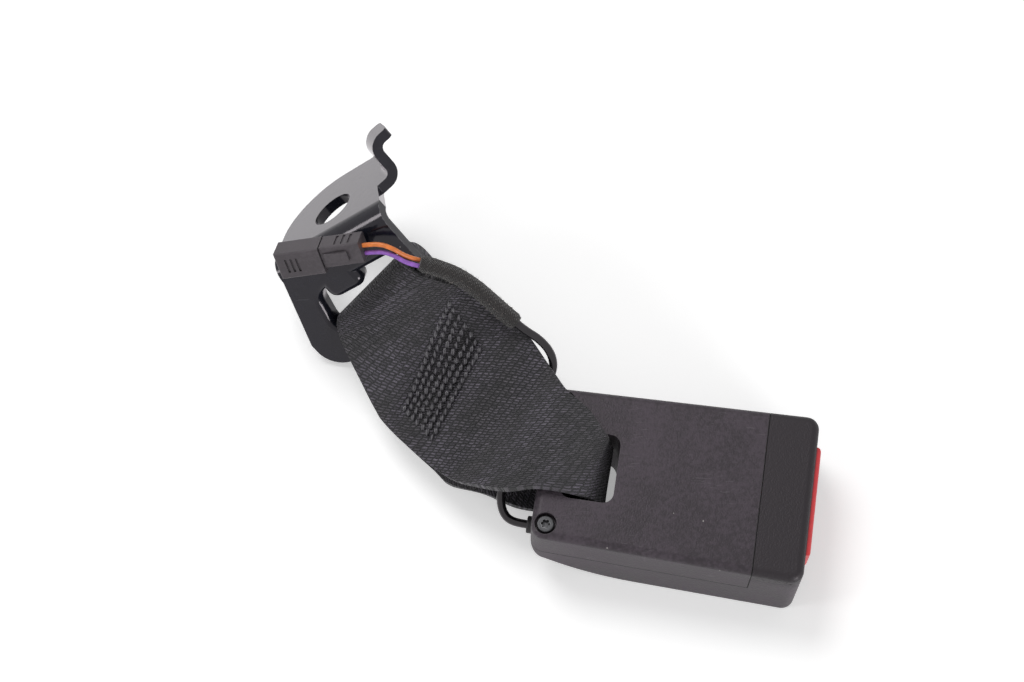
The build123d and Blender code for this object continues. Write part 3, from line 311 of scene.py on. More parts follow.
def weave_group():
    """Woven belt: short floats of yarn stacked in lines across the belt, each a rounded slanting dash.
    The vector runs along the belt in x and across it in y, in metres."""
    tree, nodes, links, entry, leave = new_group(
        "belt_weave",
        [("Vector", "NodeSocketVector", None), ("Dash", "NodeSocketFloat", 0.00150),
         ("Pitch", "NodeSocketFloat", 0.00092), ("Slant", "NodeSocketFloat", -0.66)],
        [("Height", "NodeSocketFloat"), ("Yarn", "NodeSocketFloat")])
    bricks = nodes.new("ShaderNodeTexBrick")
    bricks.offset = 0.12
    bricks.offset_frequency = 2
    bricks.squash = 1.0
    bricks.inputs["Color1"].default_value = (0.25, 0.25, 0.25, 1.0)
    bricks.inputs["Color2"].default_value = (1.0, 1.0, 1.0, 1.0)
    bricks.inputs["Mortar"].default_value = (0.0, 0.0, 0.0, 1.0)
    bricks.inputs["Scale"].default_value = 1.0
    bricks.inputs["Mortar Size"].default_value = 0.00034
    bricks.inputs["Mortar Smooth"].default_value = 1.0
    wander = noise_node(nodes, links, entry.outputs["Vector"], 350.0)
    shift = nodes.new("ShaderNodeVectorMath")
    shift.operation = "SCALE"
    shift.inputs["Scale"].default_value = 0.0010
    centre = nodes.new("ShaderNodeVectorMath")
    centre.operation = "SUBTRACT"
    centre.inputs[1].default_value = (0.5, 0.5, 0.5)
    moved = nodes.new("ShaderNodeVectorMath")
    links.new(wander.outputs["Color"], centre.inputs[0])
    links.new(centre.outputs[0], shift.inputs[0])
    links.new(entry.outputs["Vector"], moved.inputs[0])
    links.new(shift.outputs[0], moved.inputs[1])
    parts = nodes.new("ShaderNodeSeparateXYZ")
    sheared = nodes.new("ShaderNodeCombineXYZ")
    links.new(moved.outputs[0], parts.inputs[0])
    links.new(parts.outputs["X"], sheared.inputs["X"])
    slanted = math_node(nodes, links, "MULTIPLY_ADD",
                        parts.outputs["X"], entry.outputs["Slant"], parts.outputs["Y"])
    links.new(slanted, sheared.inputs["Y"])
    links.new(sheared.outputs[0], bricks.inputs["Vector"])
    links.new(entry.outputs["Dash"], bricks.inputs["Brick Width"])
    links.new(entry.outputs["Pitch"], bricks.inputs["Row Height"])
    yarn = nodes.new("ShaderNodeSeparateColor")
    links.new(bricks.outputs["Color"], yarn.inputs["Color"])
    drawn_out = mapped(nodes, links, moved.outputs[0], scale=(0.18, 1.0, 1.0))
    fibres = noise_node(nodes, links, drawn_out, 5200.0)
    top = math_node(nodes, links, "SUBTRACT", 1.0, bricks.outputs["Fac"])
    height = math_node(nodes, links, "MULTIPLY_ADD", fibres.outputs["Fac"], 0.25, top)
    links.new(height, leave.inputs["Height"])
    links.new(yarn.outputs["Red"], leave.inputs["Yarn"])
    return tree


def joint_group():
    """The line where the two housing mouldings meet, and painted shade on the top face of the end ring in
    front of it.
    """
    tree, nodes, links, entry, leave = new_group(
        "housing_joint",
        [("Vector", "NodeSocketVector", None), ("Ring Start", "NodeSocketFloat", RING_START * MM),
         ("Parting Height", "NodeSocketFloat", PARTING_HEIGHT * MM),
         ("Width", "NodeSocketFloat", 0.30 * MM)],
        [("Line", "NodeSocketFloat"), ("Ring", "NodeSocketFloat")])
    back = BUCKLE_IN_ROW.inverted()
    turn = nodes.new("ShaderNodeMapping")
    turn.inputs["Location"].default_value = back.to_translation()
    turn.inputs["Rotation"].default_value = back.to_euler()
    links.new(entry.outputs["Vector"], turn.inputs["Vector"])
    axes = nodes.new("ShaderNodeSeparateXYZ")
    links.new(turn.outputs["Vector"], axes.inputs[0])
    ahead = math_node(nodes, links, "SUBTRACT", axes.outputs["X"], entry.outputs["Ring Start"])
    above = math_node(nodes, links, "SUBTRACT", axes.outputs["Z"], entry.outputs["Parting Height"])
    width = entry.outputs["Width"]
    half_width = math_node(nodes, links, "MULTIPLY", width, 0.5)
    lines = []
    for distance, other, side in ((ahead, above, "GREATER_THAN"), (above, ahead, "LESS_THAN")):
        size = math_node(nodes, links, "ABSOLUTE", distance)
        close = math_node(nodes, links, "SUBTRACT", 1.0, ramp_between(nodes, links, size, half_width, width))
        lines.append(math_node(nodes, links, "MULTIPLY", close, math_node(nodes, links, side, other, 0.0)))
    links.new(math_node(nodes, links, "MAXIMUM", *lines), leave.inputs["Line"])
    # painted shade: only the end ring's top face, above these heights, is marked for darkening
    ring_top_shade = ramp_between(nodes, links, axes.outputs["Z"], *(height * MM for height in RING_SHADE_FADE))
    ahead_only = math_node(nodes, links, "GREATER_THAN", ahead, 0.0)
    links.new(math_node(nodes, links, "MULTIPLY", ahead_only, ring_top_shade), leave.inputs["Ring"])
    return tree


GRAIN, EDGE_WEAR, SCUFFS, DUST, WEAVE, JOINT = (
    grain_group(), edge_wear_group(), scratch_group(), dust_group(), weave_group(), joint_group())


def place_group(nodes, links, tree, vector, **values):
    """A group node in a material, with its own numbers."""
    node = nodes.new("ShaderNodeGroup")
    node.node_tree = tree
    links.new(vector, node.inputs["Vector"])
    for label, value in values.items():
        node.inputs[label].default_value = value
    return node


def mix_colour(nodes, links, mask, under, over, amount=1.0):
    """One colour over another where the mask is 1."""
    mix = nodes.new("ShaderNodeMix")
    mix.data_type = "RGBA"
    factor = math_node(nodes, links, "MULTIPLY", mask, amount)
    links.new(factor, mix.inputs["Factor"])
    for socket, value in ((mix.inputs["A"], under), (mix.inputs["B"], over)):
        if isinstance(value, bpy.types.NodeSocket):
            links.new(value, socket)
        else:
            socket.default_value = (*value, 1.0)
    return mix.outputs["Result"]


DUST_COLOUR = (0.42, 0.40, 0.38)
JOINT_SHADOW = (0.002, 0.002, 0.002)
COOL_GLOSS = (1.0, 0.93, 0.98, 1.0)      # tint of the gloss on plastics
COAT_TINT = (1.0, 0.94, 0.99, 1.0)


def toned(colour, factor, lift=0.0):
    """A colour made darker or paler, kept within 1."""
    return tuple(min(1.0, channel * factor + lift) for channel in colour)


def hard_material(name, colour, rough, metallic=0.0, coat=0.0, specular=0.5, grain=(2600.0, 0.02),
                  mottle=0.18, worn=None, dust=0.5, scuffs=0.3, joint=False):
    """Moulded, coated or bare solid: tone that wanders, a grain, rubbed edges, painted shade in corners and
    crevices, scuffs and dust. grain is its scale and its depth in millimetres; worn is the rubbed edge's
    colour and amount."""
    mat, nodes, links, shader = new_material(name)
    place = nodes.new("ShaderNodeTexCoord").outputs["Object"]
    texture = place_group(nodes, links, GRAIN, place, Scale=grain[0])
    specks = place_group(nodes, links, DUST, place, Scale=230.0, Size=0.045)
    lines = place_group(nodes, links, SCUFFS, place, Scale=240.0, Threshold=0.64 - 0.06 * scuffs)
    skin = mix_colour(nodes, links, texture.outputs["Tone"],
                      toned(colour, 1.0 - mottle), toned(colour, 1.0 + mottle))
    rubbed = math_node(nodes, links, "MULTIPLY", lines.outputs["Mask"], scuffs)
    if worn is not None:
        edges = place_group(nodes, links, EDGE_WEAR, place)
        skin = mix_colour(nodes, links, edges.outputs["Mask"], skin, worn[0], worn[1])
    skin = mix_colour(nodes, links, rubbed, skin, toned(colour, 1.6, 0.05))
    skin = mix_colour(nodes, links, specks.outputs["Mask"], skin, DUST_COLOUR, dust)
    # painted shade: the base colour is darkened towards near black where the ambient occlusion finds corners
    # and crevices
    corner = nodes.new("ShaderNodeAmbientOcclusion")
    corner.samples = 6
    corner.inputs["Distance"].default_value = 0.7 * MM
    hidden = math_node(nodes, links, "SUBTRACT", 1.0, corner.outputs["AO"])
    closed = ramp_between(nodes, links, hidden, 0.30, 0.75)
    skin = mix_colour(nodes, links, closed, skin, toned(colour, 0.12), 0.85)
    if joint:
        moulding = place_group(nodes, links, JOINT, place)
        # painted shade: the end ring's top face is darkened in the base colour
        skin = mix_colour(nodes, links, moulding.outputs["Ring"], skin, toned(colour, 0.25), 0.95)
        skin = mix_colour(nodes, links, moulding.outputs["Line"], skin, JOINT_SHADOW, 0.9)
    links.new(skin, shader.inputs["Base Color"])
    gloss = math_node(nodes, links, "MULTIPLY_ADD", texture.outputs["Tone"], 0.24 * rough, 0.88 * rough)
    gloss = math_node(nodes, links, "MULTIPLY_ADD", rubbed, 0.25, gloss)
    links.new(gloss, shader.inputs["Roughness"])
    shader.inputs["Metallic"].default_value = metallic
    shader.inputs["Specular IOR Level"].default_value = specular
    shader.inputs["Specular Tint"].default_value = WHITE if metallic else COOL_GLOSS
    if coat:
        facing = nodes.new("ShaderNodeLayerWeight")
        facing.inputs["Blend"].default_value = 0.5
        grazing = ramp_between(nodes, links, facing.outputs["Facing"], 0.50, 0.70)
        links.new(math_node(nodes, links, "MULTIPLY", grazing, coat), shader.inputs["Coat Weight"])
    shader.inputs["Coat Roughness"].default_value = 0.12
    shader.inputs["Coat Tint"].default_value = COAT_TINT
    raise_surface(nodes, links, shader, texture.outputs["Height"], grain[1])
    return mat


def belt_material():
    """Black polyester webbing, with a faint violet sheen on the yarns."""
    mat, nodes, links, shader = new_material("webbing_black")
    uv = nodes.new("ShaderNodeUVMap")
    uv.uv_map = "belt"
    place = nodes.new("ShaderNodeTexCoord").outputs["Object"]
    weave = place_group(nodes, links, WEAVE, uv.outputs["UV"])
    specks = place_group(nodes, links, DUST, place, Scale=150.0, Size=0.035)
    streaks = mapped(nodes, links, uv.outputs["UV"], scale=(2.0, 0.6, 1.0))
    tone = noise_node(nodes, links, streaks, 60.0, detail=3.0)
    patch = ramp_between(nodes, links, tone.outputs["Fac"], 0.38, 0.64)
    yarn = mix_colour(nodes, links, patch, (0.060, 0.053, 0.063), (0.118, 0.104, 0.134))
    pale = mix_colour(nodes, links, weave.outputs["Yarn"], (0.004, 0.004, 0.005), yarn)
    dusty = mix_colour(nodes, links, specks.outputs["Mask"], pale, (0.30, 0.30, 0.31), 0.7)
    links.new(dusty, shader.inputs["Base Color"])
    rough = math_node(nodes, links, "MULTIPLY_ADD", weave.outputs["Yarn"], -0.16, 0.74)
    links.new(rough, shader.inputs["Roughness"])
    shader.inputs["Sheen Weight"].default_value = 0.12
    shader.inputs["Sheen Roughness"].default_value = 0.45
    raise_surface(nodes, links, shader, weave.outputs["Height"], 0.34)
    return mat


def thread_material():
    """Bonded sewing thread, a little shinier than the belt."""
    mat, nodes, links, shader = new_material("sewing_thread")
    place = nodes.new("ShaderNodeTexCoord").outputs["Object"]
    strands = nodes.new("ShaderNodeTexWave")
    strands.inputs["Scale"].default_value = 420.0
    strands.inputs["Distortion"].default_value = 3.0
    strands.inputs["Detail"].default_value = 1.0
    links.new(place, strands.inputs["Vector"])
    ply = mix_colour(nodes, links, strands.outputs["Fac"], (0.030, 0.028, 0.032), (0.100, 0.094, 0.106))
    links.new(ply, shader.inputs["Base Color"])
    shader.inputs["Roughness"].default_value = 0.38
    raise_surface(nodes, links, shader, strands.outputs["Fac"], 0.12, strength=0.9)
    return mat


def sleeve_material():
    """Fuzzy textile tape: a fine diagonal knit under loose fibres and lint."""
    mat, nodes, links, shader = new_material("sleeve_textile")
    uv = nodes.new("ShaderNodeUVMap")
    uv.uv_map = "belt"
    place = nodes.new("ShaderNodeTexCoord").outputs["Object"]
    diagonal = mapped(nodes, links, uv.outputs["UV"], turn=40.0)
    knit = place_group(nodes, links, WEAVE, diagonal, Dash=0.0009, Pitch=0.00055, Slant=0.0)
    fuzz = noise_node(nodes, links, place, 900.0, detail=6.0, roughness=0.75)
    specks = place_group(nodes, links, DUST, place, Scale=330.0, Size=0.09)
    brown = mix_colour(nodes, links, fuzz.outputs["Fac"], (0.010, 0.008, 0.008), (0.060, 0.049, 0.044))
    dark = mix_colour(nodes, links, knit.outputs["Yarn"], (0.012, 0.010, 0.010), brown)
    dusty = mix_colour(nodes, links, specks.outputs["Mask"], dark, (0.25, 0.23, 0.22), 0.6)
    links.new(dusty, shader.inputs["Base Color"])
    shader.inputs["Roughness"].default_value = 0.92
    shader.inputs["Sheen Weight"].default_value = 0.25
    shader.inputs["Sheen Roughness"].default_value = 0.5
    rise = math_node(nodes, links, "MULTIPLY_ADD", fuzz.outputs["Fac"], 1.2, knit.outputs["Height"])
    raise_surface(nodes, links, shader, rise, 0.30)
    return mat


STEEL_SHOWS = ((0.34, 0.34, 0.35), 0.55)
RUBBED_PLASTIC = ((0.12, 0.118, 0.122), 0.5)
HARD_FINISHES = {
    "bracket_ecoat": dict(colour=(0.008, 0.009, 0.014), rough=0.16, coat=0.72, specular=0.34,
                          grain=(700.0, 0.014), mottle=0.10, worn=STEEL_SHOWS, dust=0.8, scuffs=0.5),
    "connector_plastic": dict(colour=(0.056, 0.049, 0.055), rough=0.52, specular=0.45,
                              grain=(2400.0, 0.020), worn=RUBBED_PLASTIC, dust=0.7),
    "contact_metal": dict(colour=(0.75, 0.60, 0.30), rough=0.28, metallic=1.0),
    "wire_orange": dict(colour=(0.80, 0.22, 0.045), rough=0.42, grain=(1500.0, 0.015), dust=0.3),
    "wire_purple": dict(colour=(0.30, 0.12, 0.52), rough=0.42, grain=(1500.0, 0.015), dust=0.3),
    "cable_jacket": dict(colour=(0.007, 0.007, 0.008), rough=0.14, coat=0.8, grain=(900.0, 0.012),
                         dust=0.6),
    "housing_plastic": dict(colour=(0.033, 0.026, 0.033), rough=0.48, specular=0.38, grain=(2100.0, 0.06),
                            mottle=0.42, worn=RUBBED_PLASTIC, dust=0.8, scuffs=0.9, joint=True),
    "button_red": dict(colour=(0.58, 0.035, 0.040), rough=0.36, grain=(1800.0, 0.015), mottle=0.06,
                       worn=((0.72, 0.10, 0.08), 0.5), scuffs=0.3),
    "steel": dict(colour=(0.55, 0.55, 0.57), rough=0.34, metallic=1.0, grain=(1300.0, 0.012)),
    "screw_steel": dict(colour=(0.060, 0.060, 0.064), rough=0.40, metallic=0.6, grain=(1500.0, 0.02),
                        worn=((0.45, 0.45, 0.46), 0.6)),
    "spring_steel": dict(colour=(0.50, 0.50, 0.51), rough=0.30, metallic=1.0, grain=(1800.0, 0.01)),
    "acetal_white": dict(colour=(0.78, 0.78, 0.75), rough=0.40, grain=(1800.0, 0.015)),
    "board_green": dict(colour=(0.025, 0.16, 0.06), rough=0.35, grain=(1500.0, 0.01)),
    "magnet_grey": dict(colour=(0.24, 0.24, 0.25), rough=0.50, metallic=0.4, grain=(1500.0, 0.02)),
    "grommet_rubber": dict(colour=(0.026, 0.026, 0.027), rough=0.62, grain=(1700.0, 0.03)),
    "sleeve_lint": dict(colour=(0.21, 0.19, 0.18), rough=0.9, grain=(3000.0, 0.01), dust=0.0),
}
MATERIALS = {name: hard_material(name, **finish) for name, finish in HARD_FINISHES.items()}
MATERIALS["webbing_black"] = belt_material()
MATERIALS["sleeve_textile"] = sleeve_material()
MATERIALS["sewing_thread"] = thread_material()


def dress_cad_nodes():
    """Each CAD node takes the finish of the material slot that the record gives it."""
    for subpart in frame["record"]["subparts"]:
        node = frame["nodes"][subpart["node"]]
        finish = MATERIALS[subpart["material_slot"]]
        if not node.data.materials:
            node.data.materials.append(finish)
        for slot in node.material_slots:
            slot.material = finish


dress_cad_nodes()

# ---------------------------------------------------------------- webbing
# The belt's middle surface, once round: left edge, right edge, thickness. Millimetres, row frame.
BELT_RING = (
    ((-56.3, 21.2, 10.5), (-36.6, 33.4, 30.7), 2.4),    # far end of the bracket's loop
    ((-57.6, 19.0, 12.8), (-37.5, 30.5, 32.7), 2.4),
    ((-57.9, 15.8, 14.3), (-37.2, 25.4, 33.9), 2.4),
    ((-57.6, 13.1, 14.6), (-34.0, 21.6, 36.2), 2.2),
    ((-56.7, 10.5, 14.1), (-29.4, 20.2, 36.7), 1.9),
    ((-46.6, -10.0, 12.4), (-20.6, 18.6, 31.9), 1.6),   # upper layer, towards the buckle
    ((-41.0, -17.4, 12.8), (-12.6, 15.0, 26.0), 1.4),
    ((-31.3, -27.0, 15.3), (-4.7, 8.7, 24.8), 1.4),
    ((-24.3, -32.4, 17.8), (1.7, -1.2, 25.1), 1.4),
    ((-17.1, -35.8, 22.7), (6.6, -9.9, 28.0), 1.8),
    ((-10.0, -38.1, 27.0), (12.3, -15.7, 28.5), 2.0),
    ((-2.3, -37.8, 28.1), (15.3, -20.5, 28.2), 2.4),
    ((6.3, -39.0, 27.4), (16.6, -22.2, 27.0), 2.6),
    ((11.7, -39.7, 24.2), (17.1, -22.7, 23.4), 1.9),
    ((15.9, -40.2, 18.0), (18.5, -23.2, 18.0), 1.5),    # in the buckle's slot
    ((14.3, -40.0, 12.8), (16.9, -23.0, 12.8), 1.8),
    ((8.6, -39.0, 8.7), (11.2, -22.0, 8.7), 2.4),
    ((1.7, -38.1, 8.2), (4.3, -20.9, 8.2), 2.4),
    ((-7.1, -37.2, 9.2), (-1.7, -19.4, 9.0), 2.4),
    ((-15.9, -34.2, 11.6), (-2.6, -14.5, 14.0), 2.6),
    ((-25.6, -32.0, 13.0), (-0.5, -3.7, 17.3), 2.8),
    ((-30.6, -27.3, 12.4), (-4.2, 9.0, 22.1), 2.8),     # lower layer, sewn to the upper one
    ((-40.7, -16.6, 10.2), (-12.1, 16.4, 22.7), 2.8),
    ((-46.8, -7.2, 7.9), (-22.4, 18.2, 26.6), 2.8),
    ((-48.5, 15.1, 2.2), (-23.2, 20.9, 21.6), 2.4),     # under the bracket's bar
    ((-49.3, 18.2, 2.2), (-26.1, 23.3, 19.9), 2.4),
    ((-50.6, 20.3, 3.4), (-28.6, 27.9, 21.9), 2.4),
    ((-52.3, 21.7, 5.1), (-31.3, 31.4, 24.4), 2.4),
    ((-54.4, 22.2, 7.8), (-34.4, 33.7, 27.7), 2.4),
)
BELT_THICKEST = 2.8
BELT_ROWS, BELT_COLUMNS = 190, 22
RIPPLE_HEIGHT = 0.05
SEWN_MIDDLE, SEWN_HALF, SEWN_SINK = 38.0, 8.5, 0.38    # where the stitches pull the belt in, and how deep


class BeltSurface:
    """Smooth closed surface through the belt's sections; distances along it in millimetres."""

    def __init__(self, ring):
        self.left = [Vector(a) for a, b, t in ring]
        self.right = [Vector(b) for a, b, t in ring]
        self.thick = [t for a, b, t in ring]
        middles = [(a + b) / 2 for a, b in zip(self.left, self.right)]
        self.gaps = [(b - a).length for a, b in zip(middles, middles[1:] + middles[:1])]
        self.starts = [sum(self.gaps[:i]) for i in range(len(ring) + 1)]
        self.length = self.starts[-1]

    def section(self, along):
        """Which section the distance falls after, and the share of the way to the next."""
        along %= self.length
        i = max(k for k in range(len(self.gaps)) if self.starts[k] <= along + 1e-9)
        return i, (along - self.starts[i]) / self.gaps[i]

    def edge(self, side, along):
        count = len(self.gaps)
        i, share = self.section(along)
        j = (i + 1) % count
        slope_i = (side[j] - side[i - 1]) / (self.gaps[i - 1] + self.gaps[i])
        slope_j = (side[(j + 1) % count] - side[i]) / (self.gaps[i] + self.gaps[j])
        h, square, cube = self.gaps[i], share ** 2, share ** 3
        return ((2 * cube - 3 * square + 1) * side[i] + (cube - 2 * square + share) * h * slope_i
                + (3 * square - 2 * cube) * side[j] + (cube - square) * h * slope_j)

    def point(self, along, across):
        left, right = self.edge(self.left, along), self.edge(self.right, along)
        return left.lerp(right, across)

    def width(self, along):
        return (self.edge(self.right, along) - self.edge(self.left, along)).length

    def thickness(self, along):
        i, share = self.section(along)
        return self.thick[i] * (1 - share) + self.thick[(i + 1) % len(self.thick)] * share

    def normal(self, along, across):
        ahead = self.point(along + 0.5, across) - self.point(along - 0.5, across)
        side = self.point(along, min(1.0, across + 0.05)) - self.point(along, max(0.0, across - 0.05))
        return ahead.cross(side).normalized()


BELT = BeltSurface(BELT_RING)


def select_only(pieces):
    bpy.ops.object.select_all(action="DESELECT")
    for piece in pieces:
        piece.select_set(True)
    bpy.context.view_layer.objects.active = pieces[0]


def apply_modifiers(piece):
    select_only([piece])
    for modifier in list(piece.modifiers):
        bpy.ops.object.modifier_apply(modifier=modifier.name)


def smooth_shade(piece, degrees=50.0):
    select_only([piece])
    bpy.ops.object.shade_smooth_by_angle(angle=math.radians(degrees))


def place_copy(source, matrix):
    """A copy of a piece with its own mesh, put in its place."""
    piece = source.copy()
    piece.data = source.data.copy()
    piece.data.transform(matrix)
    bpy.context.collection.objects.link(piece)
    return piece


def join_copies(copies, name):
    select_only(copies)
    bpy.ops.object.join()
    joined = bpy.context.object
    joined.name = name
    return joined


def finish_piece(piece, material, slot, *nodes):
    """Its material, the record's slot that it takes its finish from, which is not used, and the CAD nodes
    that it stands for.
    """
    piece.data.materials.append(MATERIALS[material])
    if nodes:
        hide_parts(*nodes)


def clamped(value):
    return max(0.0, min(1.0, value))


def make_belt():
    """The folded strip: a grid wrapped round the ring, given its thickness and soft edges."""
    bpy.ops.mesh.primitive_grid_add(x_subdivisions=BELT_COLUMNS, y_subdivisions=BELT_ROWS, size=2.0,
                                    calc_uvs=True)
    belt = bpy.context.object
    belt.name = "webbing_belt"
    belt.data.uv_layers.active.name = "belt"
    group = belt.vertex_groups.new(name="layer_thickness")
    waves = random.Random(7)
    ripple = [(math.tau * waves.randint(6, 26) / BELT.length, waves.uniform(0, math.tau)) for _ in range(5)]
    places = {}
    for vertex in belt.data.vertices:
        across, turn = (vertex.co.x + 1.0) / 2, (vertex.co.y + 1.0) / 2
        along = turn * BELT.length
        lift = sum(RIPPLE_HEIGHT * math.sin(along * rate + phase + 5.0 * across) for rate, phase in ripple)
        hollow = -0.10 * math.sin(math.pi * across)
        sewn = 1.0 - abs(along - SEWN_MIDDLE - 9.0 * (0.5 - across)) / SEWN_HALF
        hollow -= SEWN_SINK * clamped(2.5 * sewn) * clamped(8.0 * min(across - 0.04, 0.94 - across))
        places[vertex.index] = (across, along)
        vertex.co = (BELT.point(along, across) + BELT.normal(along, across) * (lift + hollow)) * MM
        group.add([vertex.index], BELT.thickness(along) / BELT_THICKEST, "REPLACE")
    layer = belt.data.uv_layers.active
    for loop in belt.data.loops:
        across, along = places[loop.vertex_index]
        layer.data[loop.index].uv = (along * MM, (across - 0.5) * BELT.width(along) * MM)
    bpy.ops.object.mode_set(mode="EDIT")
    bpy.ops.mesh.select_all(action="SELECT")
    bpy.ops.mesh.remove_doubles(threshold=0.00002)
    bpy.ops.mesh.normals_make_consistent(inside=False)
    bpy.ops.object.mode_set(mode="OBJECT")
    wall = belt.modifiers.new("two_faces", "SOLIDIFY")
    wall.thickness = BELT_THICKEST * MM
    wall.offset = 0.0
    wall.vertex_group = "layer_thickness"
    soft = belt.modifiers.new("soft_edges", "BEVEL")
    soft.width = 0.45 * MM
    soft.segments = 2
    soft.limit_method = "ANGLE"
    soft.angle_limit = math.radians(50.0)
    finer = belt.modifiers.new("finer", "SUBSURF")
    finer.levels = 1
    finer.render_levels = 1
    apply_modifiers(belt)
    smooth_shade(belt, 60.0)
    finish_piece(belt, "webbing_black", "webbing_black", "webbing_upper", "webbing_lower")
    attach(belt, "strap")


# The sewn block: its first and last row on the belt, as (along, across) at both ends of the row
FIRST_ROW = ((36.2, 0.14), (26.6, 0.88))
LAST_ROW = ((47.2, 0.12), (42.2, 0.76))
STITCH_ROWS = 7
STITCH_LENGTH, STITCH_R = 2.15, 0.68
STITCH_BOW = 0.30            # the middle of a stitch stands this much over its ends
STITCH_LEAN = 20.0           # degrees off the row


def make_stitches():
    """Rows of thick lock stitches, each stitch a bowed bead of thread that dips into the belt at its ends."""
    bpy.ops.mesh.primitive_uv_sphere_add(segments=8, ring_count=6, radius=1.0)
    bead = bpy.context.object
    for vertex in bead.data.vertices:
        side, up, along = vertex.co
        bow = STITCH_BOW * (1 - along * along)
        vertex.co = Vector((along * STITCH_LENGTH * 0.52, side * STITCH_R, up * STITCH_R * 0.8 + bow))
    draw = random.Random(21)
    copies = []
    for row in range(STITCH_ROWS):
        share = row / (STITCH_ROWS - 1)
        start = [a + (b - a) * share for a, b in zip(FIRST_ROW[0], LAST_ROW[0])]
        end = [a + (b - a) * share for a, b in zip(FIRST_ROW[1], LAST_ROW[1])]
        run = (BELT.point(*end) - BELT.point(*start)).length
        count = max(2, round(run / (STITCH_LENGTH * 0.94)))
        for i in range(count):
            middle, ahead = [], []
            for a, b in zip(start, end):
                middle.append(a + (b - a) * (i + 0.5) / count)
                ahead.append(a + (b - a) * (i + 0.7) / count)
            normal = BELT.normal(*middle)
            along = (BELT.point(*ahead) - BELT.point(*middle)).normalized()
            along.rotate(Matrix.Rotation(math.radians(STITCH_LEAN + draw.uniform(-9.0, 9.0)), 3, normal))
            side = normal.cross(along).normalized()
            height = BELT.thickness(middle[0]) / 2 - STITCH_BOW + draw.uniform(-0.08, 0.16)
            place = Matrix((along, side, normal)).transposed().to_4x4()
            place.translation = BELT.point(*middle) + normal * height + side * draw.uniform(-0.12, 0.12)
            shape = Matrix.Diagonal((draw.uniform(0.85, 1.12), draw.uniform(0.8, 1.15), 1.0, 1.0))
            copies.append(place_copy(bead, Matrix.Scale(MM, 4) @ place @ shape))
    bpy.data.objects.remove(bead)
    block = join_copies(copies, "stitch_block")
    smooth_shade(block, 80.0)
    finish_piece(block, "sewing_thread", "webbing_black")
    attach(block, "strap")


# ---------------------------------------------------------------- harness
SLEEVE_ROUTE = ((-25.5, 5.9, 41.0), (-18.4, 5.2, 38.4), (-11.0, 1.9, 35.6), (-4.7, -2.5, 31.6),
                (1.3, -6.9, 28.9))
CABLE_BEND = ((7.4, -10.9, 27.6), (10.8, -14.0, 25.4), (11.8, -17.6, 22.9), (9.9, -21.8, 21.4),
              (6.0, -28.4, 20.4))
CABLE_IN_BUCKLE = ((-8.3, 10.0, 19.4), (-9.8, 1.5, 18.2), (-10.1, -5.2, 15.9), (-9.9, -8.6, 13.9),
                   (-9.0, -11.4, 12.0), (-7.3, -13.2, 10.8), (-4.7, -13.9, 10.2), (-1.7, -13.9, 10.2))
SLEEVE_R, CABLE_R, WIRE_R = 2.4, 1.2, 0.65
# the bracket's slotted flange, and the connector turned on it
FLANGE_X, FLANGE_Z = Vector((0.7824, 0.1734, 0.5981)), Vector((-0.1668, -0.8670, 0.4696))
FLANGE = Matrix((FLANGE_X, FLANGE_Z.cross(FLANGE_X), FLANGE_Z)).transposed().to_4x4()
CONNECTOR_PLACE = (Matrix.Translation((-37.4, 16.9, 51.0)) @ FLANGE @ Matrix.Translation((-20.5, -3.0, 0.0))
                   @ Matrix.Rotation(math.radians(-21.5), 4, "Z"))
PLUG_END, PIN_HEIGHT = 12.8, 4.45
# piece, CAD node, finish, the pin's place across the plug, and which side of the sleeve it enters
WIRES = (("orange_lead", "orange_wire", "wire_orange", 2.7, -1),
         ("purple_lead", "purple_wire", "wire_purple", 0.1, 1))
WIRE_SPREAD = 0.9            # from the middle of the sleeve's mouth
UP = Vector((0.0, 0.0, 1.0))


def route_line(points):
    """The smooth line of a route: a NURBS spline with the route's points as its control points."""
    curve = bpy.data.curves.new("route", "CURVE")
    curve.dimensions = "3D"
    spline = curve.splines.new("NURBS")
    spline.points.add(len(points) - 1)
    for control, place in zip(spline.points, points):
        control.co = (*place, 1.0)
    spline.order_u = 3
    spline.use_endpoint_u = True
    spline.resolution_u = 10
    holder = bpy.data.objects.new("route", curve)
    bpy.context.collection.objects.link(holder)
    bpy.context.view_layer.update()
    line = [v.co.copy() for v in bpy.data.meshes.new_from_object(holder).vertices]
    bpy.data.objects.remove(holder)
    return line


def tube_piece(name, line, radius, sides, lumps=0.0, taper=1.0, seed=1):
    """A round tube along a line, with a map of metres along and around it, closed and rounded at its ends."""
    draw = random.Random(seed)
    shape = bmesh.new()
    uv = shape.loops.layers.uv.new("belt")
    rings, reach = [], [0.0]
    up = UP
    for i, place in enumerate(line):
        ahead = (line[min(i + 1, len(line) - 1)] - line[max(i - 1, 0)]).normalized()
        side = ahead.cross(up).normalized()
        up = side.cross(ahead).normalized()
        if i:
            reach.append(reach[-1] + (place - line[i - 1]).length)
        ring = []
        for k in range(sides):
            turn = math.tau * k / sides
            swell = (taper if i in (0, len(line) - 1) else 1.0) * (1.0 + lumps * draw.uniform(-1.0, 1.0))
            out = side * math.cos(turn) + up * math.sin(turn)
            ring.append(shape.verts.new(place + out * radius * swell))
        rings.append(ring)
    for i in range(len(rings) - 1):
        for k in range(sides):
            j = (k + 1) % sides
            face = shape.faces.new((rings[i][k], rings[i][j], rings[i + 1][j], rings[i + 1][k]))
            turns = (k / sides, (k + 1) / sides, (k + 1) / sides, k / sides)
            runs = (reach[i], reach[i], reach[i + 1], reach[i + 1])
            for loop, turn, run in zip(face.loops, turns, runs):
                loop[uv].uv = (run, turn * math.tau * radius)
    shape.faces.new(list(reversed(rings[0])))
    shape.faces.new(rings[-1])
    bmesh.ops.recalc_face_normals(shape, faces=shape.faces)
    mesh = bpy.data.meshes.new(name)
    shape.to_mesh(mesh)
    shape.free()
    piece = bpy.data.objects.new(name, mesh)
    bpy.context.collection.objects.link(piece)
    smooth_shade(piece, 50.0)
    return piece


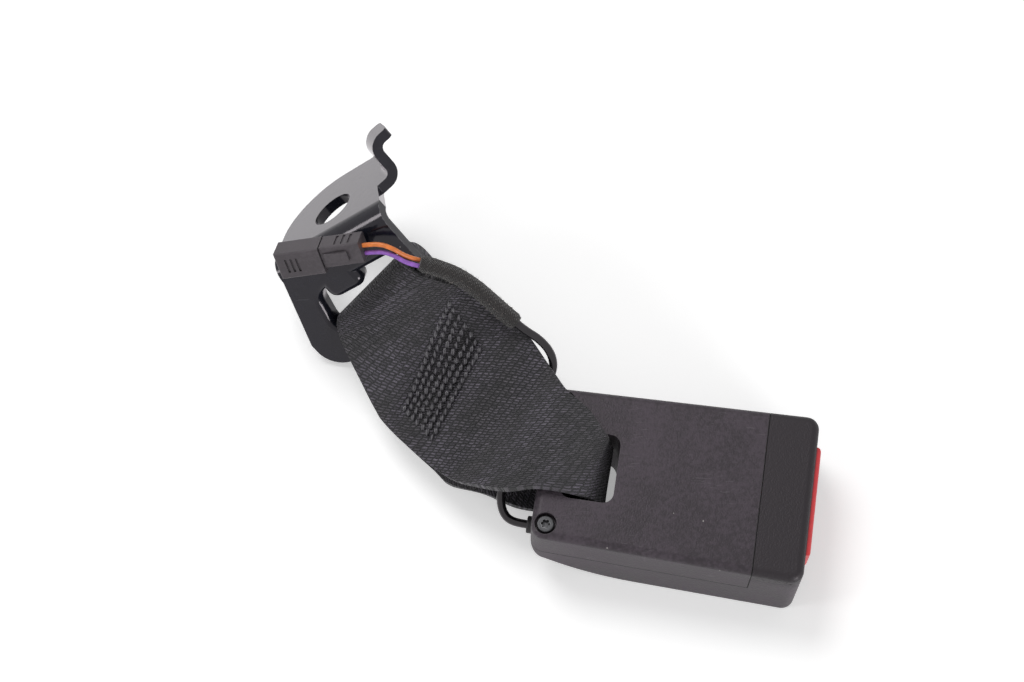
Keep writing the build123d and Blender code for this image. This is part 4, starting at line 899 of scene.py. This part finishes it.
def make_sleeve():
    """The textile sleeve over the leads; returns its line."""
    line = route_line([in_row(p) for p in SLEEVE_ROUTE])
    sleeve = tube_piece("textile_sleeve", line, SLEEVE_R * MM, 28, lumps=0.022, taper=0.80, seed=5)
    finish_piece(sleeve, "sleeve_textile", "sleeve_textile", "harness_sleeve")
    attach(sleeve, "strap")
    return line


def make_cable():
    """The jacketed cable, out of the sleeve, under the belt and into the grommet at the buckle's end."""
    before, end = Vector(SLEEVE_ROUTE[-2]), Vector(SLEEVE_ROUTE[-1])
    points = [end, end + (end - before).normalized() * 3.0] + [Vector(p) for p in CABLE_BEND]
    line = route_line([in_row(p) for p in points] + [on_buckle(p) for p in CABLE_IN_BUCKLE])
    cable = tube_piece("switch_cable", line, CABLE_R * MM, 18)
    finish_piece(cable, "cable_jacket", "cable_jacket", "sensor_cable")
    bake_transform(cable)


def make_wires():
    """The two insulated wires from the plug to the sleeve."""
    first, second = Vector(SLEEVE_ROUTE[0]), Vector(SLEEVE_ROUTE[1])
    into = (second - first).normalized()
    for name, node, slot, pin, side in WIRES:
        start = CONNECTOR_PLACE @ Vector((PLUG_END, pin, PIN_HEIGHT))
        lead = CONNECTOR_PLACE @ Vector((PLUG_END + 4.5, pin, PIN_HEIGHT))
        crest = CONNECTOR_PLACE @ Vector((PLUG_END + 8.5, pin - 2.2, PIN_HEIGHT + 0.4))
        end = first + into.cross(UP).normalized() * side * WIRE_SPREAD
        line = route_line([in_row(p) for p in (start, lead, crest, end - into * 4.0, end)])
        wire = tube_piece(name, line, WIRE_R * MM, 14)
        finish_piece(wire, slot, slot, node)
        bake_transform(wire)


LINT_PIECES, CRUMB_EVERY = 230, 26
FIBRE_R, FIBRE_TIP_R, FIBRE_LENGTH, CRUMB_R = 0.055, 0.02, 1.0, 0.22


def make_lint(line):
    """Loose fibres that stand out of the sleeve, and a few pale crumbs of lint."""
    draw = random.Random(11)
    bpy.ops.mesh.primitive_cone_add(vertices=3, radius1=FIBRE_R * MM, radius2=FIBRE_TIP_R * MM,
                                    depth=FIBRE_LENGTH * MM)
    fibre = bpy.context.object
    bpy.ops.mesh.primitive_ico_sphere_add(subdivisions=1, radius=CRUMB_R * MM)
    crumb = bpy.context.object
    copies = []
    for i in range(LINT_PIECES):
        k = draw.randrange(1, len(line) - 2)
        ahead = (line[k + 1] - line[k]).normalized()
        out = ahead.cross(UP).normalized()
        out.rotate(Matrix.Rotation(draw.uniform(0.0, math.tau), 3, ahead))
        source = fibre if i % CRUMB_EVERY else crumb
        lean = out + ahead * draw.uniform(-2.2, 2.2) + ahead.cross(out) * draw.uniform(-1.5, 1.5)
        turn = lean.normalized().to_track_quat("Z", "Y").to_matrix().to_4x4()
        root = line[k].lerp(line[k + 1], draw.random())
        turn.translation = root + out * SLEEVE_R * MM * draw.uniform(0.99, 1.07)
        copies.append(place_copy(source, turn @ Matrix.Diagonal((1.0, 1.0, draw.uniform(0.6, 1.3), 1.0))))
    bpy.data.objects.remove(fibre)
    bpy.data.objects.remove(crumb)
    lint = join_copies(copies, "sleeve_lint")
    finish_piece(lint, "sleeve_lint", "sleeve_textile")
    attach(lint, "strap")


# ---------------------------------------------------------------- springs, copied from the CAD nodes
SPRINGS = (("ejector_spring", "ejector"), ("button_spring_left", "release_button"),
           ("button_spring_right", "release_button"))


def make_springs():
    """Each coil is its CAD spring's mesh with doubled points merged and smooth shading, in place of the CAD
    node; its rear and front ends are found but not used.
    """
    to_buckle = BUCKLE_IN_ROW.inverted()
    for node, moved in SPRINGS:
        coil = bpy.data.objects.new(node + "_coil", frame["nodes"][node].data.copy())
        bpy.context.collection.objects.link(coil)
        select_only([coil])
        bpy.ops.object.mode_set(mode="EDIT")
        bpy.ops.mesh.select_all(action="SELECT")
        bpy.ops.mesh.remove_doubles(threshold=0.00001)
        bpy.ops.object.mode_set(mode="OBJECT")
        smooth_shade(coil)
        inside = [to_buckle @ vertex.co for vertex in coil.data.vertices]
        middle = sum(inside, Vector()) / len(inside)
        rear, front = (Vector((pick(v.x for v in inside), middle.y, middle.z)) for pick in (min, max))
        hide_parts(node)
        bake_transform(coil)


make_belt()
make_stitches()
make_lint(make_sleeve())
make_cable()
make_wires()
make_springs()
